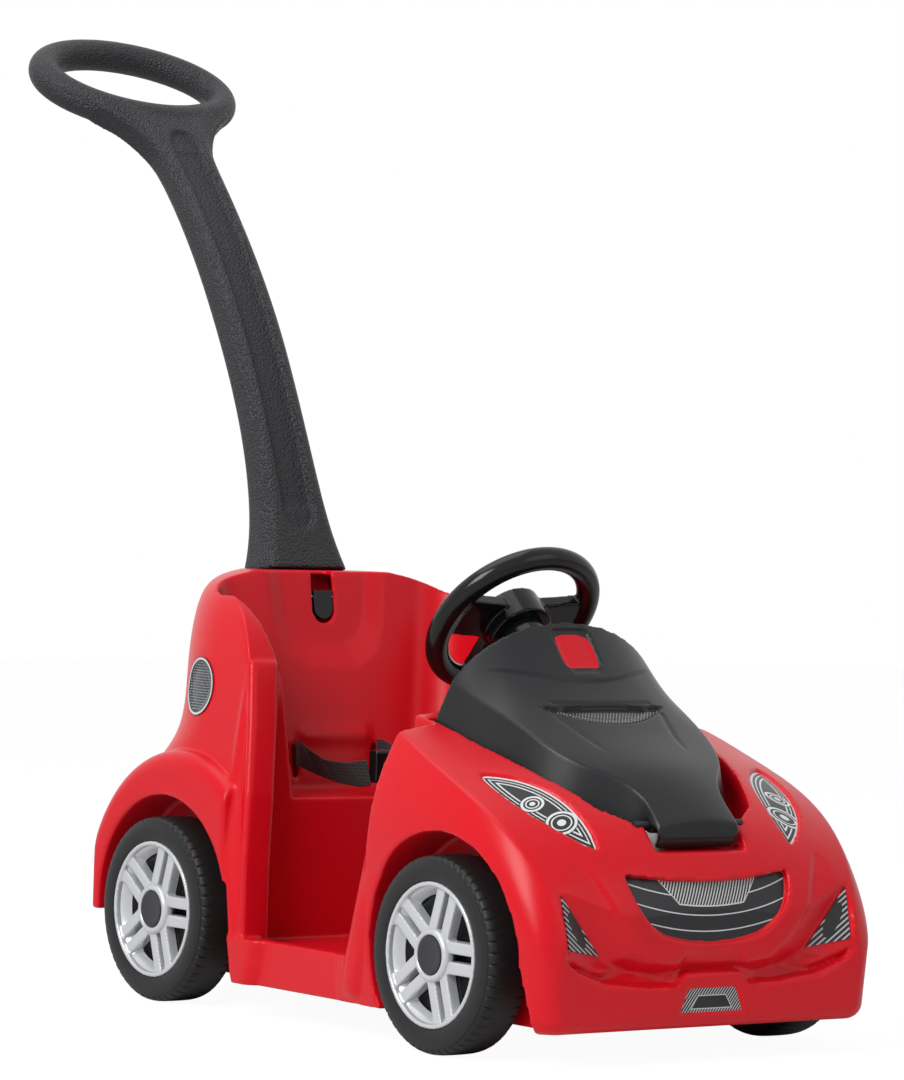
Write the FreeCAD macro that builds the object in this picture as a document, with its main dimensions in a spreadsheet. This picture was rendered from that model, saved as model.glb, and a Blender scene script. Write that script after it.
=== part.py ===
import FreeCAD, Part
import math
import os
import re
import Sketcher

# A ride-on push car for a small child: moulded body on four wheels, tipping hood, steering wheel
# and a long push handle that lifts out of a socket behind the seat.
# Frame: +X forward, +Y left, +Z up, origin on the ground under the middle of the whole part.
# Sizes ending in "_back" are measured backwards from the nose, "_height" from the ground.

sizes = (
    ("overall_length", 1055), ("body_length", 701), ("tail_height", 78), ("tail_back", 640),
    ("ground_clearance", 30), ("front_clip_length", 301), ("cowl_height", 302),
    ("seat_block_height", 412), ("rear_clip_back", 421), ("wall", 5), ("nose_wall", 28),
    ("overrun", 40), ("fit_gap", 0.3), ("shaft_gap", 0.05),
    ("front_overhang", 140), ("wheelbase", 442), ("track_outer", 418), ("wheel_stand_out", 10),
    ("tyre_diameter", 176), ("tyre_width", 48), ("tyre_wall", 5), ("tread_groove", 2.5),
    ("rim_diameter", 129), ("rim_wall", 4), ("rim_web", 5), ("rim_lip", 1.5), ("hub_set", 8),
    ("hub_diameter", 36), ("spoke_width", 11), ("spoke_gap", 7), ("spoke_depth", 13), ("dish_depth", 17),
    ("tyre_shoulder", 9),
    ("tread_slot", 3), ("arch_gap", 20), ("arch_toe", 14), ("well_gap", 9),
    ("flare_radius", 152), ("flare_forward", 14), ("flare_depth", 60), ("flare_round", 16),
    ("axle_diameter", 10), ("axle_end", 4), ("bush_diameter", 20), ("bush_flange", 28),
    ("bush_flange_thickness", 3),
    ("cap_diameter", 34), ("cap_height", 9), ("cap_wall", 2), ("nut_diameter", 18), ("nut_thickness", 2),
    ("floor_height", 66), ("sill_height", 73), ("sill_width", 22), ("sill_back", 500),
    ("door_foot_back", 284), ("door_waist_back", 251), ("door_head_back", 237),
    ("door_foot_height", 33), ("door_waist_height", 162), ("door_head_height", 273),
    ("cowl_back", 268), ("cowl_width", 276), ("cowl_foot_height", 214),
    ("seat_front_back", 479), ("seat_height", 200), ("seat_back_foot_back", 574),
    ("seat_back_head_back", 604), ("seat_back_head_height", 400), ("bucket_width", 238),
    ("bucket_spread", 56),
    ("bucket_round", 38), ("wing_bend_height", 280), ("wing_head_back", 572), ("wing_head_height", 394),
    ("leg_width", 230), ("leg_height", 166), ("leg_front_back", 190), ("leg_round", 18),
    ("bin_floor_height", 182), ("notch_width", 104), ("notch_floor_height", 184),
    ("hood_lip_back", 26), ("hood_loft_back", 271), ("hood_width", 258), ("hood_height", 404),
    ("hood_wall", 3.5), ("hood_gap", 3), ("arch_foot_back", 253), ("arch_foot_height", 282),
    ("arch_head_back", 223), ("arch_head_height", 381), ("hood_pin_back", 43), ("hood_pin_height", 207),
    ("hood_pin_diameter", 6), ("hood_pin_seat", 10), ("knuckle_diameter", 16),
    ("dash_thickness", 5), ("dash_inset", 6),
    ("steering_back", 304), ("steering_height", 377), ("column_lean", 42),
    ("steering_diameter", 178), ("steering_rim", 22), ("steering_hub_diameter", 62),
    ("steering_hub_height", 30), ("steering_spoke_width", 42), ("steering_spoke_thickness", 12),
    ("steering_shaft_diameter", 14), ("collar_diameter", 58), ("collar_head_diameter", 44),
    ("horn_diameter", 38), ("horn_height", 12), ("horn_travel", 3), ("clip_diameter", 26),
    ("clip_thickness", 3), ("shaft_tail", 12),
    ("handle_back", 658), ("handle_seat_height", 408), ("handle_lean", 13), ("handle_bend_radius", 900),
    ("handle_neck_lean", 46), ("handle_width", 64), ("handle_thickness", 38), ("handle_foot_width", 102),
    ("handle_foot_thickness", 54), ("handle_round", 14),
    ("shank_width", 62), ("shank_thickness", 30), ("shank_length", 120),
    ("grip_width", 206), ("grip_length", 140), ("grip_lean", 58.5), ("grip_tube", 33), ("grip_height", 905),
    ("handle_panel_width", 34), ("handle_panel_depth", 2),
    ("groove_width", 25), ("groove_depth", 20), ("groove_foot_height", 362), ("seat_recess_depth", 6),
    ("seat_recess_width", 140), ("seat_recess_height", 100), ("seat_recess_foot_height", 318),
    ("tab_width", 22),
    ("tab_length", 28), ("tab_thickness", 6), ("tab_set", 6.5), ("latch_margin", 1.5),
    ("latch_height", 388), ("latch_pin_diameter", 3),
    ("latch_pin_seat", 5), ("nose_width", 10), ("nose_height", 6), ("nose_reach", 36),
    ("channel_depth", 6), ("latch_play", 7),
    ("belt_width", 32), ("belt_thickness", 1.6), ("belt_height", 212), ("belt_spread", 96),
    ("belt_meet_back", 488), ("buckle_length", 44), ("buckle_thickness", 14), ("belt_sag", 26),
    ("panel_sink", 2.4), ("panel_thickness", 1.2), ("hood_panel_sink", 1.2), ("hood_panel_thickness", 0.8),
    ("lamp_tail_back", 137), ("lamp_tail_y", 162), ("lamp_tip_back", 30), ("lamp_tip_y", 110),
    ("lamp_swell", 20), ("grille_width", 186), ("grille_foot_width", 104), ("grille_head_height", 166),
    ("grille_foot_height", 112), ("grille_sag", 7), ("grille_sink", 5), ("intake_head_width", 54),
    ("intake_foot_width", 74), ("intake_head_height", 67), ("intake_foot_height", 44),
    ("fuel_back", 567), ("fuel_height", 301), ("fuel_diameter", 46),
    ("mesh_back", 157), ("mesh_width", 126), ("mesh_sag", 16), ("mesh_depth", 14),
    ("badge_back", 206), ("badge_width", 34),
)

document = FreeCAD.newDocument("push_car")
sheet = document.addObject("Spreadsheet::Sheet", "Sizes")
for row, (alias, value) in enumerate(sizes, start=1):
    sheet.set("A%d" % row, alias)
    sheet.set("B%d" % row, str(value))
    sheet.setAlias("B%d" % row, alias)
document.recompute()
size = {alias: float(sheet.get(alias)) for alias, value in sizes}

nodes = []
vector = FreeCAD.Vector
up = vector(0, 0, 1)
left = vector(0, 1, 0)
forward = vector(1, 0, 0)
half_width = size["track_outer"] / 2 - size["wheel_stand_out"]
nose_x = size["overall_length"] / 2
axle_height = size["tyre_diameter"] / 2
arch_radius = axle_height + size["arch_gap"]
well_y = size["track_outer"] / 2 - size["tyre_width"] - size["well_gap"]
high = size["seat_block_height"] + size["overrun"]
axles = {"front": size["front_overhang"], "rear": size["front_overhang"] + size["wheelbase"]}
sides = {"right": -1, "left": 1}
loft_degree = 3


def x_at(back):
    return nose_x - back


def keep(shape_object, label):
    shape_object.Label = label
    nodes.append(shape_object)
    return shape_object


def feature(label, shape, placement=None):
    part = document.addObject("Part::Feature", label)
    part.Shape = shape
    if placement is not None:
        part.Placement = placement
    return keep(part, label)


def expression(text):
    def cell(word):
        return "Sizes." + word.group() if word.group() in size else word.group()

    return re.sub(r"[a-z_]+", cell, text)


def measure(text):
    return float(sheet.evalExpression(expression(text)))


def bound(kind, name, **texts):
    part = document.addObject(kind, name)
    for prop, text in texts.items():
        part.setExpression(prop, expression(text))
    return part


def turned(axis, degrees, base):
    return FreeCAD.Placement(base, FreeCAD.Rotation(axis, degrees))


def line(first, second):
    return Part.LineSegment(first, second).toShape()


def arc(first, middle, last):
    return Part.Arc(first, middle, last).toShape()


def polygon_prism(points, direction):
    return Part.Face(Part.makePolygon(points + points[:1])).extrude(direction)


def smooth_loft(wires):
    return Part.makeLoft(wires, True, False, False, loft_degree)


def rounded_rectangle(width, depth, radius):
    radius = min(radius, min(width, depth) / 2 - size["fit_gap"])
    a, b = width / 2, depth / 2
    k = radius * (1 - math.sqrt(0.5))
    edges = [
        line(vector(-a + radius, -b, 0), vector(a - radius, -b, 0)),
        arc(vector(a - radius, -b, 0), vector(a - k, -b + k, 0), vector(a, -b + radius, 0)),
        line(vector(a, -b + radius, 0), vector(a, b - radius, 0)),
        arc(vector(a, b - radius, 0), vector(a - k, b - k, 0), vector(a - radius, b, 0)),
        line(vector(a - radius, b, 0), vector(-a + radius, b, 0)),
        arc(vector(-a + radius, b, 0), vector(-a + k, b - k, 0), vector(-a, b - radius, 0)),
        line(vector(-a, b - radius, 0), vector(-a, -b + radius, 0)),
        arc(vector(-a, -b + radius, 0), vector(-a + k, -b + k, 0), vector(-a + radius, -b, 0)),
    ]
    return Part.Wire(edges)


# Front clip: sections from the nose back. Shares: along the clip, then half widths at the foot, the
# side and the crease of half the body width, with the heights of side, crease and crown of the cowl.
front_clip_shares = (
    (0.000, 0.840, 0.870, 0.283, 0.790, 0.381, 0.460),
    (0.030, 0.915, 0.950, 0.333, 0.860, 0.457, 0.550),
    (0.103, 0.955, 0.985, 0.400, 0.900, 0.570, 0.660),
    (0.236, 0.969, 0.995, 0.467, 0.944, 0.685, 0.770),
    (0.465, 0.979, 1.000, 0.500, 0.954, 0.800, 0.885),
    (0.751, 0.974, 1.000, 0.500, 0.903, 0.910, 0.970),
    (1.000, 0.954, 0.985, 0.500, 0.820, 0.945, 1.000),
)
side_bulge_share = 0.10


def front_section(row, inset, nose, foot):
    along, low, side, side_z, crease, crease_z, crown_z = row
    x = x_at(nose + along * (size["front_clip_length"] - nose))
    low_y = low * half_width - inset
    side_y = side * half_width - inset
    crease_y = crease * half_width - inset
    height = size["cowl_height"]
    a = vector(x, -low_y, foot)
    b = vector(x, -side_y, side_z * height)
    c = vector(x, -crease_y, crease_z * height - inset)
    crown = vector(x, 0, crown_z * height - inset)
    chord = c - b
    swell = (b + c) / 2 + vector(0, -chord.z, chord.y) * side_bulge_share
    mirror = [vector(p.x, -p.y, p.z) for p in (a, b, swell, c)]
    return Part.Wire([
        line(a, b), arc(b, swell, c), arc(c, crown, mirror[3]),
        arc(mirror[3], mirror[2], mirror[1]), line(mirror[1], mirror[0]), line(mirror[0], a),
    ])


def front_hull(inset):
    nose = size["nose_wall"] if inset else 0
    foot = size["ground_clearance"] - (size["overrun"] if inset else 0)
    wires = [front_section(row, inset, nose, foot) for row in front_clip_shares]
    return smooth_loft(wires)


# Rear clip: level outlines from the underside up. Shares: height of the seat block, half width of half
# the body width, tail and corner radius of the body's length behind the rear clip's start.
rear_clip_shares = (
    (0.073, 0.900, 0.955, 0.25),
    (0.240, 0.925, 1.000, 0.27),
    (0.415, 0.925, 0.990, 0.29),
    (0.530, 0.915, 0.965, 0.34),
    (0.630, 0.890, 0.925, 0.46),
    (0.740, 0.870, 0.935, 0.50),
    (0.840, 0.838, 0.965, 0.52),
    (0.920, 0.775, 0.978, 0.50),
    (0.968, 0.660, 0.975, 0.42),
    (1.000, 0.400, 0.945, 0.28),
)


def rear_outline(row, inset, height):
    z_share, half, tail, corner = row
    span = size["body_length"] - size["rear_clip_back"]
    front = x_at(size["rear_clip_back"] + inset)
    back = x_at(size["rear_clip_back"] + tail * span - inset)
    y = half * half_width - inset
    radius = min(corner * span, y - size["wall"]) - inset
    bend = radius * (1 - math.sqrt(0.5))
    p = [
        vector(front, -y, height), vector(back + radius, -y, height), vector(back, -y + radius, height),
        vector(back, y - radius, height), vector(back + radius, y, height), vector(front, y, height),
    ]
    return Part.Wire([
        line(p[0], p[1]), arc(p[1], vector(back + bend, -y + bend, height), p[2]), line(p[2], p[3]),
        arc(p[3], vector(back + bend, y - bend, height), p[4]), line(p[4], p[5]), line(p[5], p[0]),
    ])


def rear_hull(inset):
    wires = []
    for number, row in enumerate(rear_clip_shares):
        height = row[0] * size["seat_block_height"] - inset
        if number == 0:
            height = size["ground_clearance"] - (size["overrun"] if inset else 0)
        wires.append(rear_outline(row, inset, height))
    return smooth_loft(wires)


def rear_flare(side, inset):
    foot = size["ground_clearance"] - (size["overrun"] if inset else 0)
    radius = size["flare_radius"] - inset
    x = x_at(axles["rear"] - size["flare_forward"])
    outer = half_width - inset
    disc = Part.makeCylinder(radius, size["flare_depth"], vector(x, side * outer, axle_height), left * -side)
    rim = [edge for edge in disc.Edges if abs(abs(edge.CenterOfMass.y) - outer) < size["wall"]]
    disc = disc.makeFillet(size["flare_round"], [edge for edge in rim if edge.Closed])
    tail = x_at(size["body_length"] - inset)
    room = Part.makeBox(4 * radius, 4 * half_width, high, vector(tail, -2 * half_width, foot))
    return disc.common(room)


def sill_hull(inset):
    foot = size["ground_clearance"] - (size["overrun"] if inset else 0)
    front = x_at(size["front_clip_length"] - size["overrun"])
    back = x_at(size["sill_back"])
    y = front_clip_shares[-1][1] * half_width - inset
    top = size["sill_height"] + size["wall"]
    return Part.makeBox(front - back, 2 * y, top - foot, vector(back, -y, foot))


def across(edges_wire, half):
    face = Part.Face(edges_wire)
    face.translate(vector(0, -half, 0))
    return face.extrude(left * (2 * half))


wing_swell_shares = (0.20, 0.62)


def door_cut(grow):
    foot = vector(x_at(size["door_foot_back"]) + grow, 0, size["door_foot_height"])
    waist = vector(x_at(size["door_waist_back"]) + grow, 0, size["door_waist_height"])
    head = vector(x_at(size["door_head_back"]) + grow, 0, size["door_head_height"])
    seat_x = x_at(size["seat_front_back"]) - grow
    bend = vector(seat_x, 0, size["wing_bend_height"])
    wing = vector(x_at(size["wing_head_back"]) - grow, 0, size["wing_head_height"])
    across_share, up_share = wing_swell_shares
    wing_swell = vector(seat_x + across_share * (wing.x - seat_x), 0, bend.z + up_share * (wing.z - bend.z))
    top_front = vector(head.x, 0, high)
    top_back = vector(wing.x - size["wall"] - size["overrun"], 0, high)
    low_back = vector(seat_x, 0, foot.z)
    profile = Part.Wire([
        arc(foot, waist, head), line(head, top_front), line(top_front, top_back), line(top_back, wing),
        arc(wing, wing_swell, bend), line(bend, low_back), line(low_back, foot),
    ])
    full = across(profile, half_width + size["overrun"])
    sill_top = size["sill_height"] - grow
    floor = Part.makeBox(2 * nose_x, 4 * half_width, sill_top, vector(-nose_x, -2 * half_width, 0))
    inner = half_width - size["sill_width"]
    tray = Part.makeBox(2 * nose_x, 2 * inner, high, vector(-nose_x, -inner, size["floor_height"] - grow))
    cowl_x = x_at(size["cowl_back"]) + grow
    cowl_y = size["cowl_width"] / 2 - grow
    cowl_foot = size["cowl_foot_height"] + grow
    cowl = Part.makeBox(nose_x, 2 * cowl_y, high, vector(cowl_x, -cowl_y, cowl_foot))
    return full.cut(floor.cut(tray)).cut(cowl)


def bucket_cut(grow):
    front = x_at(size["seat_front_back"]) + size["overrun"]
    foot = vector(x_at(size["seat_back_foot_back"]) - grow, 0, size["seat_height"] - grow)
    head = vector(x_at(size["seat_back_head_back"]) - grow, 0, size["seat_back_head_height"])
    rise = (high - foot.z) / (head.z - foot.z)
    wires = []
    for share in (0, rise):
        back = foot + (head - foot) * share
        y = (size["bucket_width"] + share * size["bucket_spread"]) / 2 + grow
        deep = front - back.x
        wire = rounded_rectangle(2 * deep, 2 * y, size["bucket_round"])
        wire.translate(vector(front, 0, back.z))
        wires.append(wire)
    solid = Part.makeLoft(wires, True, True)
    room = Part.makeBox(nose_x, 4 * half_width, 2 * high, vector(front - nose_x, -2 * half_width, 0))
    return solid.common(room)


def leg_cut(grow):
    y = size["leg_width"] / 2 + grow
    back = x_at(size["door_foot_back"]) - size["overrun"]
    front = x_at(size["leg_front_back"]) + grow
    foot = size["floor_height"] - grow
    solid = Part.makeBox(front - back, 2 * y, size["leg_height"] + grow - foot, vector(back, -y, foot))
    rounds = [edge for edge in solid.Edges if edge.CenterOfMass.x > front - size["fit_gap"]]
    return solid.makeFillet(size["leg_round"], rounds)


# Plan of the storage bin under the hood: shares of the way from the lip to the hood's back edge,
# and of half the hood's width.
bin_plan_shares = (
    (0.070, 0.46), (0.150, 0.68), (0.330, 0.85), (0.450, 0.925), (0.620, 0.995), (0.820, 1.025),
    (1.000, 1.035),
)


def arch_lean():
    run = size["arch_foot_back"] - size["arch_head_back"]
    return math.degrees(math.atan2(run, size["arch_head_height"] - size["arch_foot_height"]))


def behind_arch(offset):
    foot = vector(x_at(size["arch_foot_back"]) + offset, 0, size["arch_foot_height"])
    block = Part.makeBox(nose_x, 2 * half_width, 2 * high, vector(-nose_x, -half_width, -high))
    block.Placement = turned(left, arch_lean(), foot)
    return block


def bin_cut(grow):
    span = size["hood_loft_back"] - size["hood_lip_back"]
    half = size["hood_width"] / 2
    right = [vector(x_at(size["hood_lip_back"] + along * span), -(share * half + grow), 0)
             for along, share in bin_plan_shares]
    right[0].x += grow
    points = right + [vector(p.x, -p.y, 0) for p in reversed(right)]
    for point in points:
        point.z = size["bin_floor_height"] - grow
    well = polygon_prism(points, up * high).cut(behind_arch(size["dash_inset"] - grow))
    notch_y = size["notch_width"] / 2 + grow
    notch_z = size["notch_floor_height"] - grow
    start = right[1].x
    corner = vector(start, -notch_y, notch_z)
    notch = Part.makeBox(size["overrun"] + nose_x - start, 2 * notch_y, high, corner)
    return well.fuse(notch)


def hood_rebate(grow):
    half = size["hood_width"] / 2
    outer = bin_plan_shares[-1][1] * half + grow
    inner = hood_shares[-1][3] * half - 2 * size["hood_wall"] - grow
    edge = (hood_shares[-2][2] + hood_shares[-1][2]) / 2 * size["hood_height"]
    foot = edge - size["hood_gap"] - grow
    back = x_at(size["hood_loft_back"]) - size["overrun"]
    shapes = [Part.makeBox(nose_x, outer - inner, high, vector(back, y, foot)) for y in (-outer, inner)]
    room = shapes[0].fuse(shapes[1]).common(behind_arch(size["dash_inset"] + size["fit_gap"]))
    return room.cut(behind_arch(-size["fit_gap"] - grow))


def wheel_cut(axle, side, grow):
    outer = half_width + size["overrun"]
    inner = well_y - grow
    base = vector(x_at(axles[axle]), side * inner, axle_height)
    room = Part.makeCylinder(arch_radius + grow, outer - inner, base, left * side)
    toe = arch_radius + size["arch_toe"] + grow
    knee = size["floor_height"] if grow else size["ground_clearance"]
    points = [
        base, base + forward * (arch_radius + grow),
        vector(base.x + toe, base.y, knee), vector(base.x + toe, base.y, 0),
        vector(base.x, base.y, 0),
    ]
    return room.fuse(polygon_prism(points, left * (side * (outer - inner))))


def handle_frame():
    base = vector(x_at(size["handle_back"]), 0, size["handle_seat_height"])
    return FreeCAD.Placement(base, FreeCAD.Rotation(left, -size["handle_lean"]))


def socket_cut(grow):
    gap = size["fit_gap"] + grow
    thick = size["shank_thickness"] + 2 * gap
    bore = rounded_rectangle(thick, size["shank_width"] + 2 * gap, size["handle_round"])
    depth = size["shank_length"] + gap
    bore.translate(up * -depth)
    bore = Part.Face(bore).extrude(up * (depth + size["overrun"]))
    wide = size["handle_foot_width"] + 2 * (size["wall"] / 2 + grow)
    deep = size["handle_foot_thickness"] + 2 * (size["wall"] / 2 + grow)
    mouth = rounded_rectangle(deep, wide, size["handle_round"])
    mouth.translate(up * -(size["fit_gap"] + grow))
    mouth = Part.Face(mouth).extrude(up * size["overrun"])
    solid = bore.fuse(mouth)
    solid.Placement = handle_frame()
    return solid


def tail_cut():
    corner = vector(x_at(size["tail_back"]) - nose_x, -2 * half_width, 0)
    return Part.makeBox(nose_x, 4 * half_width, size["tail_height"], corner)


# Scoops either side of the nose and the valley over the bumper: an outer lip, a valley line and an inner
# crease from the top tip to the middle of the car. Shares: height of the cowl, side of half the body
# width, set back of the nose wall.
scoop_lip_shares = (
    (0.620, 0.760, 1.10), (0.515, 0.836, 0.55), (0.335, 0.826, 0.08), (0.284, 0.800, 0.00),
    (0.236, 0.660, 0.00), (0.218, 0.270, 0.00), (0.258, 0.186, 0.00), (0.258, 0.000, 0.00),
)
scoop_valley_shares = (
    (0.610, 0.735, 1.15), (0.515, 0.836, 0.55), (0.410, 0.705, 0.57), (0.305, 0.574, 0.59),
    (0.272, 0.430, 0.50), (0.262, 0.300, 0.36), (0.272, 0.200, 0.20), (0.272, 0.000, 0.16),
)
scoop_crease_shares = (
    (0.595, 0.680, 1.05), (0.540, 0.620, 0.62), (0.440, 0.545, 0.10), (0.380, 0.460, 0.00),
    (0.335, 0.390, 0.00), (0.300, 0.320, 0.00), (0.288, 0.200, 0.00), (0.288, 0.000, 0.00),
)
vent_share = 0.84


def nose_spot(shares, side):
    height, across_nose, back = shares
    x = x_at(back * size["nose_wall"])
    return vector(x, side * across_nose * half_width, height * size["cowl_height"])


def triangle_strip(first, second):
    faces = []
    for a, b, c, d in zip(first, first[1:], second[1:], second):
        for corners in ((a, b, c), (a, c, d)):
            longest = max((corners[0] - corners[1]).Length, (corners[1] - corners[2]).Length)
            if (corners[1] - corners[0]).cross(corners[2] - corners[0]).Length > longest * size["shaft_gap"]:
                faces.append(Part.Face(Part.makePolygon(list(corners) + [corners[0]])))
    return faces


def nose_scoop(side):
    lip, valley, crease = ([nose_spot(row, side) for row in shares]
                           for shares in (scoop_lip_shares, scoop_valley_shares, scoop_crease_shares))
    out = nose_x + size["overrun"]
    lip_out = [vector(out, point.y, point.z) for point in lip]
    crease_out = [vector(out, point.y, point.z) for point in crease]
    faces = triangle_strip(lip, valley) + triangle_strip(valley, crease)
    faces += triangle_strip(lip_out, lip) + triangle_strip(crease, crease_out)
    faces += triangle_strip(crease_out, lip_out)
    for end in (0, -1):
        ring = [lip[end], valley[end], crease[end], crease_out[end], lip_out[end]]
        faces += triangle_strip([ring[0], ring[1]], [ring[4], ring[2]])
        faces += triangle_strip([ring[4], ring[2]], [ring[3], ring[3]])
    solid = Part.Solid(Part.Shell(faces))
    if solid.Volume < 0:
        solid.reverse()
    return solid


def side_vent(side):
    corners = [nose_spot(scoop_lip_shares[row], side) for row in (1, 2)]
    corners.append(nose_spot(scoop_valley_shares[3], side))
    middle = (corners[0] + corners[1] + corners[2]) / 3
    normal = (corners[1] - corners[0]).cross(corners[2] - corners[0]).normalize()
    normal = normal if normal.x > 0 else normal * -1
    seat = [middle + (corner - middle) * vent_share + normal * size["shaft_gap"] for corner in corners]
    return polygon_prism(seat, normal * size["panel_thickness"])


# Recess in the seat back round the latch. Shares of its width and height at the rim and at the floor.
recess_rim_shares = ((0.24, 0.00), (0.40, 0.14), (0.47, 0.40), (0.50, 1.00))
recess_floor_shares = ((0.15, 0.24), (0.26, 0.32), (0.33, 0.50), (0.37, 1.00))


def recess_wire(x, grow):
    deep = -x / size["seat_recess_depth"]
    points = []
    for rim, floor in zip(recess_rim_shares, recess_floor_shares):
        y, z = (a + (b - a) * deep for a, b in zip(rim, floor))
        points.append(vector(x, y * size["seat_recess_width"] + grow, z * size["seat_recess_height"] - grow))
    points = points + [vector(x, -point.y, point.z) for point in reversed(points)]
    return Part.makePolygon(points + points[:1])


def seat_recess(grow):
    depth = size["seat_recess_depth"]
    solid = Part.makeLoft([recess_wire(depth, grow), recess_wire(-depth, grow)], True, True)
    solid.translate(forward * -grow)
    solid.Placement = seat_back_frame(size["seat_recess_foot_height"]).multiply(solid.Placement)
    return solid


def cuts(grow):
    shapes = [door_cut(grow), bucket_cut(grow), leg_cut(grow), bin_cut(grow), hood_rebate(grow)]
    shapes += [socket_cut(grow), seat_recess(grow)]
    for axle in axles:
        for side in sides.values():
            shapes.append(wheel_cut(axle, side, grow))
    return shapes


def hull(inset):
    flares = [rear_flare(side, inset) for side in sides.values()]
    return front_hull(inset).fuse([rear_hull(inset), sill_hull(inset)] + flares)


def body_shell():
    outside = hull(0).cut(cuts(0))
    cavity = hull(size["wall"]).cut(cuts(size["wall"]))
    return outside.cut(cavity).cut([tail_cut()] + [nose_scoop(side) for side in sides.values()])


def hood_pin_place(y):
    return vector(x_at(size["hood_pin_back"]), y, size["hood_pin_height"])


# Hood: sections from the lip back. Shares: along the hood, half width and height at the lower edge,
# half width and height at the crease, height of the crown.
hood_shares = (
    (0.000, 0.362, 0.487, 0.339, 0.513, 0.525),
    (0.053, 0.370, 0.508, 0.346, 0.543, 0.560),
    (0.143, 0.425, 0.490, 0.386, 0.590, 0.609),
    (0.327, 0.775, 0.515, 0.670, 0.648, 0.672),
    (0.551, 0.908, 0.575, 0.800, 0.716, 0.756),
    (0.714, 0.962, 0.640, 0.860, 0.757, 0.861),
    (0.816, 0.988, 0.668, 0.895, 0.783, 0.943),
    (1.000, 1.000, 0.700, 0.950, 0.815, 1.000),
)


def hood_loft(inset):
    span = size["hood_loft_back"] - size["hood_lip_back"]
    half = size["hood_width"] / 2
    height = size["hood_height"]
    wires = []
    for along, low, low_z, crease, crease_z, crown_z in hood_shares:
        x = x_at(size["hood_lip_back"] + inset + along * (span - inset))
        drop = size["overrun"] if inset else 0
        a = vector(x, -(low * half - inset), low_z * height - drop)
        b = vector(x, -(crease * half - inset), crease_z * height - inset)
        crown = vector(x, 0, crown_z * height - inset)
        c = vector(x, -b.y, b.z)
        d = vector(x, -a.y, a.z)
        wires.append(Part.Wire([line(a, b), arc(b, crown, c), line(c, d), line(d, a)]))
    return smooth_loft(wires)


def hood():
    shell = hood_loft(0).cut(hood_loft(size["hood_wall"]))
    y = hood_shares[0][3] * size["hood_width"] / 2
    knuckle = Part.makeCylinder(size["knuckle_diameter"] / 2, 2 * y, hood_pin_place(-y), left)
    radius = size["hood_pin_diameter"] / 2 + size["shaft_gap"]
    bore = Part.makeCylinder(radius, 4 * y, hood_pin_place(-2 * y), left)
    return shell.fuse(knuckle).cut(bore).cut(behind_arch(0))


# Panels set into the moulding: a layer of the skin that lies inside a prism over the panel's outline.
def layer(hull_at, prism, shallow, deep):
    return prism.common(hull_at(shallow)).cut(hull_at(deep))


def recess(hull_at, prism, deep):
    return prism.cut(hull_at(deep))


def leaf(first, last, swell):
    middle = (first + last) / 2
    side_way = (last - first).cross(up).normalize() * swell
    return Part.Wire([arc(first, middle + side_way, last), arc(last, middle - side_way, first)])


def lamp_prism(side, margin):
    tail = vector(x_at(size["lamp_tail_back"] + margin), side * size["lamp_tail_y"], size["ground_clearance"])
    tip = vector(x_at(size["lamp_tip_back"] - margin), side * size["lamp_tip_y"], size["ground_clearance"])
    return Part.Face(leaf(tail, tip, size["lamp_swell"] + margin)).extrude(up * high)


def forward_prism(wire):
    return Part.Face(wire).extrude(forward * (size["nose_wall"] + size["overrun"]))


def front_point(y, z):
    return vector(x_at(size["nose_wall"] + size["overrun"] / 2), y, z)


def grille_prism(margin):
    a = size["grille_width"] / 2 + margin
    b = size["grille_foot_width"] / 2 + margin
    top = size["grille_head_height"] + margin
    foot = size["grille_foot_height"] - margin
    sag = size["grille_sag"]
    middle_y = (a + b) / 2 + sag
    middle_z = (top + foot) / 2 - sag
    return forward_prism(Part.Wire([
        arc(front_point(-a, top), front_point(0, top - sag), front_point(a, top)),
        arc(front_point(a, top), front_point(middle_y, middle_z), front_point(b, foot)),
        arc(front_point(b, foot), front_point(0, foot - sag), front_point(-b, foot)),
        arc(front_point(-b, foot), front_point(-middle_y, middle_z), front_point(-a, top)),
    ]))


def intake_prism(margin):
    a = size["intake_head_width"] / 2 + margin
    b = size["intake_foot_width"] / 2 + margin
    top = size["intake_head_height"] + margin
    foot = size["intake_foot_height"] - margin
    points = [front_point(-a, top), front_point(a, top), front_point(b, foot), front_point(-b, foot)]
    return forward_prism(Part.makePolygon(points + points[:1]))


def fuel_prism(margin):
    base = vector(x_at(size["fuel_back"]), -half_width - size["overrun"], size["fuel_height"])
    return Part.makeCylinder(size["fuel_diameter"] / 2 + margin, half_width, base, left)


def mesh_prism(margin):
    x = x_at(size["mesh_back"])
    a = size["mesh_width"] / 2 + margin
    low = x + size["mesh_depth"] / 2 + margin
    top = x - size["mesh_depth"] / 2 - margin
    ends = [vector(x - size["mesh_sag"], y, 0) for y in (-a, a)]
    wire = Part.Wire([arc(ends[0], vector(low, 0, 0), ends[1]), arc(ends[1], vector(top, 0, 0), ends[0])])
    return Part.Face(wire).extrude(up * high)


def badge_prism(margin):
    width = size["badge_width"] + 2 * margin
    wire = rounded_rectangle(width, width, size["wall"])
    wire.translate(vector(x_at(size["badge_back"]), 0, 0))
    return Part.Face(wire).extrude(up * high)


def front_at(inset):
    wires = [front_section(row, inset, inset, size["ground_clearance"]) for row in front_clip_shares]
    return smooth_loft(wires)


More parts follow.
